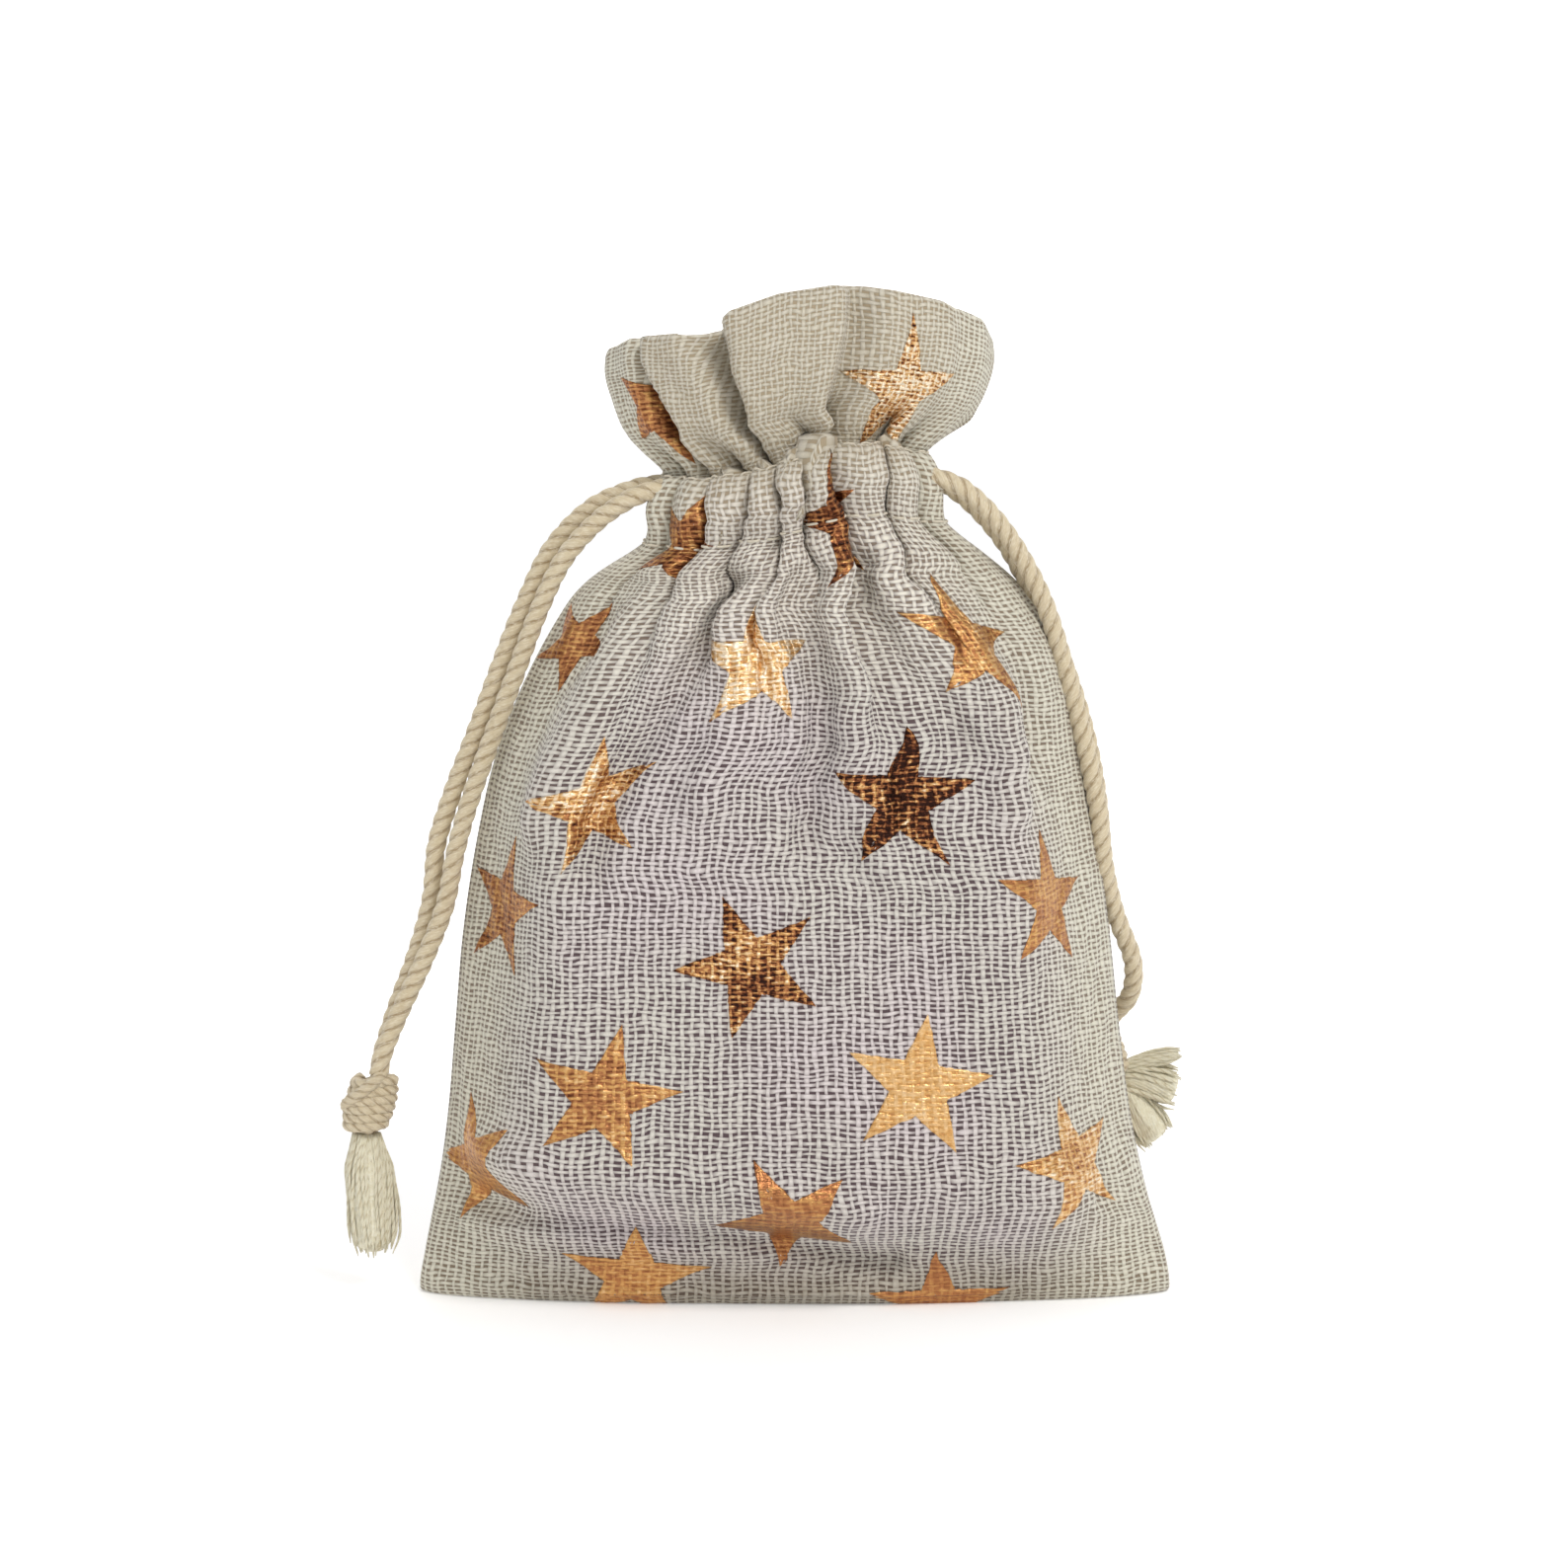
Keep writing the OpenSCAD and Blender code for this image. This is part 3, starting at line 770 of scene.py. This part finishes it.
strands = {}
for name, route in (("left_front_strand", LEFT_FRONT), ("left_back_strand", LEFT_BACK),
                    ("right_front_strand", RIGHT_FRONT), ("right_back_strand", RIGHT_BACK)):
    line = spline(route)
    strands[name] = (join_tubes(name, [tube(line, CORD_D / 2, 28, 3, phase=len(strands))]), line)


def loop_line(z, side):
    """A cord's way round inside the channel."""
    r, run = 2.6, 6.4
    pts = [(-12.4, -1.4, z), (-10.4, -1.6, z)]
    for k in range(1, 8):
        a = math.pi * k / 8
        pts.append((run + r * math.sin(a), -r * math.cos(a), z))
    pts += [(-10.4, 1.6, z), (-12.4, 1.4, z)]
    pts.insert(2, (-4, -r, z))
    pts.insert(-2, (-4, r, z))
    return spline([(side * x, y, h) for x, y, h in pts])


loops = {}
for name, z, side in (("left_loop", 102.2, 1), ("right_loop", 105.6, -1)):
    loops[name] = join_tubes(name, [tube(loop_line(z, side), 1.2, 20, 3)])


def knot_tubes(centre, tilt):
    """A barrel knot of both strands: slanting turns laid close together round the strands inside it."""
    centre = np.array(centre, float)
    c, s = math.cos(tilt), math.sin(tilt)
    lean = np.array([[c, 0, s], [0, 1, 0], [-s, 0, c]])
    out = []

    def put(points, radius, phase=0.0, plies=3):
        line = spline([centre + lean @ np.array(p, float) for p in points], 0.3)
        out.append(tube(line, radius, 20, plies, turn=4.0, phase=phase, groove=0.22))

    turns = 5.6
    wrap = []
    for k in range(int(turns * 10) + 1):
        a = 2 * math.pi * k / 10 + 2.4
        t = k / (turns * 10)
        r = 2.25 + 0.35 * math.sin(math.pi * t) + 0.14 * math.sin(3.1 * a + 1)
        wrap.append((r * math.cos(a), r * math.sin(a) * 0.92, 3.1 - 6.2 * t + 0.75 * math.cos(a)))
    put(wrap, 0.80, plies=4)
    put([(0.7, -1.2, 3.7), (0.5, -0.9, 2.0), (0.3, -0.6, 0), (0.2, -0.3, -4.0)], 1.1)
    put([(0.7, 1.1, 3.7), (0.4, 0.9, 2.0), (0.0, 0.7, 0), (-0.1, 0.4, -4.0)], 1.1, 2.0)
    over = [
        (1.2, -1.4, 4.2), (0.2, -2.7, 3.0), (-1.5, -2.75, 1.2),
        (-2.9, -1.2, -0.4), (-2.7, 1.0, -1.6), (-1.0, 2.4, -2.6),
    ]
    put(over, 0.78, 1.0, 4)
    return out


def tassel_tubes(root, direction, length, width, seed, count=54, flare=0.0):
    """The unlaid yarns of both cord ends: a close bundle of fine fibres with loose ones on it."""
    rng = random.Random(seed)
    root, d = np.array(root, float), np.array(direction, float)
    d /= np.linalg.norm(d)
    u = np.cross(d, [0, 1, 0.15])
    u /= np.linalg.norm(u)
    w = np.cross(d, u)

    def spread(t):
        narrow = np.interp(t, [0, 0.1, 0.28, 0.6, 0.86, 1], [0.52, 0.66, 0.98, 1.0, 0.9, 0.62])
        return width / 2 * (narrow * (1 - flare) + (0.5 + 0.9 * t) * flare)

    def middle(t):
        return root + d * length * t + u * 0.5 * math.sin(2.6 * t + seed)

    t_line = np.linspace(0, 0.95, 26)
    shape = np.array([spread(t) * 0.86 for t in t_line])
    shape[-1] *= 0.55
    shape[-2] *= 0.85
    out = [tube(np.array([middle(t) for t in t_line]), 1.0, 96, 31, turn=40, groove=0.14, taper=shape)]
    for k in range(count):
        a = 2.4 * k
        r = math.sqrt(rng.uniform(0.55, 1.0))
        reach = 1 - rng.uniform(0, 0.12)
        turn = rng.uniform(0.1, 0.6)
        stray = 1.25 if k % 17 == 5 else 1.0
        points = []
        for j in range(8):
            t = j / 7 * reach
            aa = a + turn * t + 0.10 * math.sin(5 * t + k)
            wob = 0.12 * math.sin(9 * t + 1.7 * k)
            reach_out = r * spread(t) * (1 + (stray - 1) * t) + wob * t
            points.append(middle(t) + (u * math.cos(aa) + w * math.sin(aa) * 0.9) * reach_out)
        line = spline(points, 0.6)
        taper = np.interp(np.linspace(0, 1, len(line)), [0, 0.1, 0.85, 1], [0.9, 1, 0.9, 0.3])
        out.append(tube(line, rng.uniform(0.22, 0.36), 6, 2, turn=3.0, groove=0.2, phase=k, taper=taper))
    return out


LEFT_KNOT = (-54.6, 0, 24.7)
RIGHT_KNOT = (40.4, 15.4, 28)
left_knot = join_tubes("left_knot_wraps", knot_tubes(LEFT_KNOT, 0.14))
right_knot = join_tubes("right_knot_wraps", knot_tubes(RIGHT_KNOT, -0.5))
left_tassel = join_tubes(
    "left_tassel_yarns", tassel_tubes((-54.7, 0, 20.6), (-0.01, 0, -1), 16.2, 6.6, 5)
)
right_tassel = join_tubes(
    "right_tassel_yarns",
    tassel_tubes((42.0, 15.4, 24.8), (0.95, -0.1, -0.20), 8.8, 4.8, 6, 34, 0.5)
    + tassel_tubes((42.0, 15.2, 25.2), (0.93, -0.1, 0.34), 9.6, 1.9, 7, 14, 0.1)
    + tassel_tubes((41.6, 15.3, 24.4), (0.66, -0.1, -0.68), 10.2, 4.8, 8, 32, 0.4),
)

# ---------------------------------------------------------------- materials


def lin(*rgb):
    """A colour on the usual scale of 0 to 255, as the linear one that a shader takes."""
    return tuple(((c / 255 + 0.055) / 1.055) ** 2.4 for c in rgb) + (1.0,)


class Nodes:
    """A short way to write a material's node tree."""

    def __init__(self, name):
        self.material = bpy.data.materials.new(name)
        self.material.use_nodes = True
        self.tree = self.material.node_tree
        self.tree.nodes.clear()

    def add(self, kind, **settings):
        n = self.tree.nodes.new(kind)
        for key, value in settings.items():
            setattr(n, key, value)
        return n

    def put(self, socket, value):
        if isinstance(value, bpy.types.NodeSocket):
            self.tree.links.new(value, socket)
        else:
            socket.default_value = value

    def math(self, op, a, b=0.0, c=0.0, clamp=False):
        n = self.add("ShaderNodeMath", operation=op, use_clamp=clamp)
        for socket, value in zip(n.inputs, (a, b, c)):
            self.put(socket, value)
        return n.outputs[0]

    def mix(self, f, a, b, blend="MIX"):
        n = self.add("ShaderNodeMix", data_type="RGBA", blend_type=blend)
        self.put(n.inputs[0], f)
        self.put(n.inputs[6], a)
        self.put(n.inputs[7], b)
        return n.outputs[2]

    def noise(self, vector, scale, detail=2.0, rough=0.5):
        n = self.add("ShaderNodeTexNoise")
        self.put(n.inputs["Vector"], vector)
        self.put(n.inputs["Scale"], scale)
        self.put(n.inputs["Detail"], detail)
        self.put(n.inputs["Roughness"], rough)
        return n.outputs[0]

    def remap(self, value, a, b, c=0.0, d=1.0, smooth_it=False):
        n = self.add("ShaderNodeMapRange", interpolation_type="SMOOTHSTEP" if smooth_it else "LINEAR")
        for socket, x in zip(n.inputs, (value, a, b, c, d)):
            self.put(socket, x)
        return n.outputs[0]

    def ramp(self, value, stops):
        n = self.add("ShaderNodeValToRGB")
        for k, (at, rgb) in enumerate(stops):
            e = n.color_ramp.elements[k] if k < 2 else n.color_ramp.elements.new(at)
            e.position = at
            e.color = lin(*rgb)
        self.put(n.inputs[0], value)
        return n.outputs[0]

    def vector(self, x, y, z=0.0):
        n = self.add("ShaderNodeCombineXYZ")
        for socket, value in zip(n.inputs, (x, y, z)):
            self.put(socket, value)
        return n.outputs[0]

    def finish(self, colour, rough, metal=0.0, bump=None, strength=0.5, distance=0.0003, **more):
        p = self.add("ShaderNodeBsdfPrincipled")
        self.put(p.inputs["Base Color"], colour)
        self.put(p.inputs["Roughness"], rough)
        self.put(p.inputs["Metallic"], metal)
        for key, value in more.items():
            self.put(p.inputs[key.replace("_", " ")], value)
        if bump is not None:
            b = self.add("ShaderNodeBump")
            self.put(b.inputs["Strength"], strength)
            self.put(b.inputs["Distance"], distance)
            self.put(b.inputs["Height"], bump)
            self.put(p.inputs["Normal"], b.outputs[0])
        out = self.add("ShaderNodeOutputMaterial")
        self.put(out.inputs[0], p.outputs[0])
        return self.material


# from thread to thread, across the cloth and along it
WARP = 1.15
WEFT = 0.70


def weave(m):
    """Height from -1 in a hole to 1 on a thread, and the cloth coordinates in millimetres."""
    uv = m.add("ShaderNodeUVMap", uv_map="cloth")
    split = m.add("ShaderNodeSeparateXYZ")
    m.put(split.inputs[0], uv.outputs[0])
    u = m.math("MULTIPLY", split.outputs[0], UV_MM)
    v = m.math("MULTIPLY", split.outputs[1], UV_MM)
    at = m.vector(u, v)
    stretched = m.vector(u, m.math("MULTIPLY", v, 0.12))
    across = m.vector(m.math("MULTIPLY", u, 0.12), v, 7.0)
    drift = m.math("MULTIPLY", m.math("SUBTRACT", m.noise(at, 0.22, 1.0), 0.5), 0.9)
    sway = m.math("MULTIPLY", m.math("SUBTRACT", m.noise(m.vector(u, v, 9.0), 0.2, 1.0), 0.5), 1.3)
    wob_u = m.math("MULTIPLY", m.math("SUBTRACT", m.noise(stretched, 0.8), 0.5), 0.55)
    wob_v = m.math("MULTIPLY", m.math("SUBTRACT", m.noise(across, 1.1), 0.5), 0.42)
    a = m.math("DIVIDE", m.math("ADD", u, m.math("ADD", wob_u, drift)), WARP)
    b = m.math("DIVIDE", m.math("ADD", v, m.math("ADD", wob_v, sway)), WEFT)
    thick_a = m.remap(m.noise(stretched, 1.9, 1.0), 0.34, 0.66, 0.28, 0.58)
    thick_b = m.remap(m.noise(across, 2.6, 1.0), 0.34, 0.66, 0.40, 0.80)
    ca = m.math("MULTIPLY", m.math("ABSOLUTE", m.math("SUBTRACT", m.math("FRACT", a), 0.5)), 2.0)
    cb = m.math("MULTIPLY", m.math("ABSOLUTE", m.math("SUBTRACT", m.math("FRACT", b), 0.5)), 2.0)
    ra = m.math("DIVIDE", ca, thick_a)
    rb = m.math("DIVIDE", cb, thick_b)
    round_a = m.math("SQRT", m.math("MAXIMUM", m.math("SUBTRACT", 1.0, m.math("MULTIPLY", ra, ra)), 0.0))
    round_b = m.math("SQRT", m.math("MAXIMUM", m.math("SUBTRACT", 1.0, m.math("MULTIPLY", rb, rb)), 0.0))
    phase_a = m.math("MULTIPLY", m.math("ADD", m.math("SUBTRACT", b, 0.5), m.math("FLOOR", a)), math.pi)
    phase_b = m.math("MULTIPLY", m.math("ADD", m.math("SUBTRACT", a, 0.5), m.math("FLOOR", b)), math.pi)
    wave_a = m.math("MULTIPLY", m.math("COSINE", phase_a), 0.45)
    wave_b = m.math("MULTIPLY", m.math("COSINE", phase_b), -0.45)
    in_a = m.math("LESS_THAN", ra, 1.0)
    in_b = m.math("LESS_THAN", rb, 1.0)

    def high(rounded, wave, inside):
        h = m.math("ADD", m.math("MULTIPLY", rounded, 0.75), wave)
        return m.math("SUBTRACT", m.math("MULTIPLY", m.math("ADD", h, 1.0), inside), 1.0)

    ha, hb = high(round_a, wave_a, in_a), high(round_b, wave_b, in_b)
    return m.math("MAXIMUM", ha, hb), u, v, at


def cloth_material(name):
    m = Nodes(name)
    h, u, v, at = weave(m)
    fibre = m.noise(at, 6.0, 3.0, 0.6)
    broad = m.noise(at, 0.035, 2.0)
    patch = m.noise(at, 0.5, 2.0)
    frill = m.remap(v, V_STITCH - 2, V_STITCH + 12, 0, 1, True)
    # low marks painted shade: threads, flanks and holes darken from 22 mm down to 8 mm above the bottom
    # fold, where the cloth turns under
    low = m.remap(v, 22, 8, 0, 1, True)
    lilac = m.mix(m.remap(broad, 0.40, 0.62, 0, 1, True), lin(220, 216, 207), lin(226, 216, 217))
    thread = m.mix(frill, lilac, lin(214, 207, 189))
    thread = m.mix(low, thread, lin(181, 174, 156))
    thread = m.mix(m.math("MULTIPLY", m.remap(patch, 0.35, 0.7), 0.35), thread, lin(222, 217, 208))
    thread = m.mix(m.remap(fibre, 0.35, 0.75, 0, 0.4), thread, lin(170, 162, 152))
    # painted light: threads and holes turn lighter from 84 mm up to the casing, as if lit from above; on
    # the threads the lift fades out in the frill
    top_light_mask = m.remap(v, 84, 108, 0, 1, True)
    top_light_on_threads = m.math("MULTIPLY", top_light_mask, m.math("MULTIPLY_ADD", frill, -0.85, 0.85))
    thread = m.mix(top_light_on_threads, thread, lin(236, 230, 216))
    hole = m.mix(top_light_mask, lin(86, 71, 74), lin(134, 120, 106))
    hole = m.mix(frill, hole, lin(164, 149, 124))
    hole = m.mix(low, hole, lin(104, 91, 78))
    # painted shade on the weave: the flank colour (side) is darker than the thread tops, and lit blends
    # from flank to top by thread height
    side = m.mix(frill, lin(140, 128, 127), lin(166, 154, 130))
    side = m.mix(low, side, lin(150, 138, 118))
    rim = m.remap(m.math("ABSOLUTE", m.math("SUBTRACT", u, 50.0)), 26, 44, 0, 1, True)
    thread = m.mix(rim, thread, lin(220, 216, 200))
    side = m.mix(rim, side, lin(172, 164, 146))
    hole = m.mix(m.math("MULTIPLY", rim, 0.75), hole, lin(140, 126, 106))
    lit = m.remap(h, -0.15, 1.15, 0, 1)
    colour = m.mix(lit, side, thread)
    colour = m.mix(m.remap(h, -0.99, -0.72, 1, 0), colour, hole)
    bump = m.math("ADD", m.math("MAXIMUM", h, -0.9), m.math("MULTIPLY", fibre, 0.35))
    return m.finish(colour, 0.88, 0.0, bump, 0.75, 0.00022, Sheen_Weight=0.25, Sheen_Roughness=0.5,
                    Specular_IOR_Level=0.2)


def foil_material(name):
    m = Nodes(name)
    h, u, v, at = weave(m)
    tone = m.add("ShaderNodeAttribute", attribute_name="tone").outputs["Fac"]
    ripple = m.add("ShaderNodeAttribute", attribute_name="ripple").outputs["Fac"]
    crinkle = m.noise(at, 1.1, 4.0, 0.65)
    flat = m.vector(m.math("MULTIPLY", u, 0.5), m.math("MULTIPLY", v, 1.5), 3.0)
    streak = m.noise(flat, 1.3, 3.0, 0.6)
    sheen = m.noise(at, 0.16, 1.0)
    # The foil's colour is painted reflection: pale highlights and dark brown facets from the weave
    # relief, streaks, crinkles and a broad sheen; tone darkens a star's painted reflections and ripple
    # sets their contrast
    relief = m.remap(h, -0.4, 1.1, -0.5, 0.5)
    value = m.math("MULTIPLY", relief, 0.40)
    for part, amount in ((streak, 1.5), (crinkle, 0.9), (sheen, 0.7)):
        value = m.math("ADD", value, m.math("MULTIPLY", m.math("SUBTRACT", part, 0.5), amount))
    value = m.math("ADD", m.math("MULTIPLY", value, ripple), m.math("MULTIPLY_ADD", tone, -0.40, 0.66))
    colour = m.ramp(value, [
        (0.0, (48, 24, 16)),
        (0.22, (116, 66, 40)),
        (0.45, (178, 120, 76)),
        (0.62, (214, 164, 100)),
        (0.80, (236, 198, 148)),
        (1.0, (255, 238, 212)),
    ])
    bump = m.math("ADD", m.math("MULTIPLY", h, 0.5), m.math("MULTIPLY", streak, 1.8))
    bump = m.math("ADD", bump, m.math("MULTIPLY", crinkle, 1.2))
    return m.finish(colour, 0.32, 0.85, bump, m.math("MULTIPLY_ADD", ripple, 0.7, 0.35), 0.0002)


def yarn_material(name, light, mid, groove_shade_and_blot, twist=3):
    m = Nodes(name)
    along = m.add("ShaderNodeAttribute", attribute_name="along").outputs["Fac"]
    around = m.add("ShaderNodeAttribute", attribute_name="around").outputs["Fac"]
    place = m.add("ShaderNodeTexCoord").outputs["Object"]
    ply = m.math("ABSOLUTE", m.math("COSINE", m.math("MULTIPLY", around, twist * math.pi)))
    angle = m.math("MULTIPLY", around, 2 * math.pi)
    lay = m.vector(m.math("COSINE", angle), m.math("SINE", angle), m.math("MULTIPLY", along, 0.35))
    hairs = m.noise(lay, 5.0, 4.0, 0.7)
    blot = m.noise(place, 900.0, 2.0)
    # painted shade: the grooves between the plies take the darker colour and the crests the mid one;
    # blot adds random darker patches of the same colour
    colour = m.mix(m.remap(ply, 0.1, 0.75, 0, 1, True), groove_shade_and_blot, mid)
    colour = m.mix(m.remap(hairs, 0.42, 0.68, 0, 0.85, True), colour, light)
    colour = m.mix(m.remap(blot, 0.55, 0.8, 0, 0.3), colour, groove_shade_and_blot)
    return m.finish(colour, 0.9, 0.0, hairs, 0.6, 0.0003, Sheen_Weight=0.3, Sheen_Roughness=0.5,
                    Specular_IOR_Level=0.15)


cloth_mat = cloth_material("cloth")
foil_mat = foil_material("foil")
cord_mat = yarn_material("cord", lin(230, 220, 198), lin(210, 194, 162), lin(164, 142, 108))
tassel_mat = yarn_material("frayed_yarn", lin(242, 238, 220), lin(230, 223, 196), lin(196, 182, 144), 2)


def thread_material(name):
    m = Nodes(name)
    at = m.add("ShaderNodeTexCoord").outputs["Object"]
    grain = m.noise(at, 1800.0, 3.0)
    return m.finish(m.mix(grain, lin(190, 180, 160), lin(226, 219, 203)), 0.85, 0.0, grain, 0.3, 0.0001)


thread_mat = thread_material("thread")


def paint(obj, material):
    obj.data.materials.clear()
    obj.data.materials.append(material)


seams = [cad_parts[f"{side}_seam_stitching"] for side in ("left", "right")]
cords = [obj for obj, _ in strands.values()] + list(loops.values()) + [left_knot, right_knot]
for material, objects in (
    (cloth_mat, [front_cloth, back_cloth]),
    (foil_mat, foils.values()),
    (thread_mat, [*stitches.values(), *seams]),
    (cord_mat, cords),
    (tassel_mat, [left_tassel, right_tassel]),
):
    for obj in objects:
        paint(obj, material)

# ---------------------------------------------------------------- joining the pieces to the frame

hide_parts("front_panel", "front_casing", "front_frill", "left_seam_allowance")
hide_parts("back_panel", "back_casing", "back_frill", "right_seam_allowance")
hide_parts("front_foil_stars")
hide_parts("back_foil_stars")
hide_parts("front_frill_foil_stars")
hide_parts("back_frill_foil_stars")
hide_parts("left_cord_loop")
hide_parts("right_cord_loop")
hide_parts("left_cord_front_strand")
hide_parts("left_cord_back_strand")
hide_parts("right_cord_front_strand")
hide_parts("right_cord_back_strand")
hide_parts("left_knot")
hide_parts("right_knot")
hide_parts("left_tassel")
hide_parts("right_tassel")

for name in ("front", "back"):
    cloth = front_cloth if name == "front" else back_cloth
    for obj in (cloth, foils[f"{name}_frill_foil"]):
        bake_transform(obj)
    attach(foils[f"{name}_foil"], "sack")
    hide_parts(f"{name}_casing_stitching")
    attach(stitches[name], "sack")
for side in ("left", "right"):
    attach(loops[f"{side}_loop"], f"{side}_cord_loop")
    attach(strands[f"{side}_front_strand"][0], f"{side}_cord")
    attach(strands[f"{side}_back_strand"][0], f"{side}_cord")
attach(left_knot, "left_cord")
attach(right_knot, "right_cord")
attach(left_tassel, "left_tassel")
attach(right_tassel, "right_tassel")

# ---------------------------------------------------------------- studio


def studio():
    floor_mesh = bpy.data.meshes.new("floor")
    floor_mesh.from_pydata([(-4, -3, 0), (4, -3, 0), (4, 2.5, 0), (-4, 2.5, 0)], [], [(0, 1, 2, 3)])
    back_mesh = bpy.data.meshes.new("backdrop")
    back_mesh.from_pydata([(-4, 2.5, 0), (4, 2.5, 0), (4, 2.5, 4), (-4, 2.5, 4)], [], [(0, 1, 2, 3)])
    for name, mesh, glow in (("floor", floor_mesh, 0.22), ("backdrop", back_mesh, 0.62)):
        obj = bpy.data.objects.new(name, mesh)
        scene.collection.objects.link(obj)
        m = Nodes(name)
        paint(obj, m.finish(lin(250, 250, 250), 0.95, Emission_Color=(1.0, 1.0, 1.0, 1.0),
                            Emission_Strength=glow, Specular_IOR_Level=0.0))
    world = bpy.data.worlds.new("studio")
    world.use_nodes = True
    world.node_tree.nodes["Background"].inputs[0].default_value = (1.0, 1.0, 1.0, 1.0)
    world.node_tree.nodes["Background"].inputs[1].default_value = 0.54
    scene.world = world
    for name, place, size, power, tint in (
        ("key", (0.34, -0.60, 0.80), 0.32, 4.6, (1.0, 0.985, 0.96)),
        ("fill", (-0.80, -0.45, 0.35), 0.5, 0.4, (0.96, 0.98, 1.0)),
        ("back", (0.1, 0.6, 0.8), 0.5, 1.6, (1.0, 1.0, 1.0)),
    ):
        light = bpy.data.lights.new(name, "AREA")
        light.shape = "DISK"
        light.size = size
        light.energy = power
        light.color = tint
        obj = bpy.data.objects.new(name, light)
        obj.location = place
        aim = Vector((0, 0, 0.06)) - obj.location
        obj.rotation_euler = aim.to_track_quat("-Z", "Y").to_euler()
        scene.collection.objects.link(obj)
    camera = bpy.data.cameras.new("camera")
    camera.lens = 108
    camera.sensor_width = 36
    camera.clip_end = 20
    obj = bpy.data.objects.new("camera", camera)
    target = np.array([-0.0014, 0.0, 0.0665])
    away = 0.6
    obj.location = (target[0], -away * math.cos(ELEVATION), target[2] + away * math.sin(ELEVATION))
    obj.rotation_euler = (math.pi / 2 - ELEVATION, 0, 0)
    scene.collection.objects.link(obj)
    scene.camera = obj
    scene.view_settings.view_transform = "Standard"


studio()
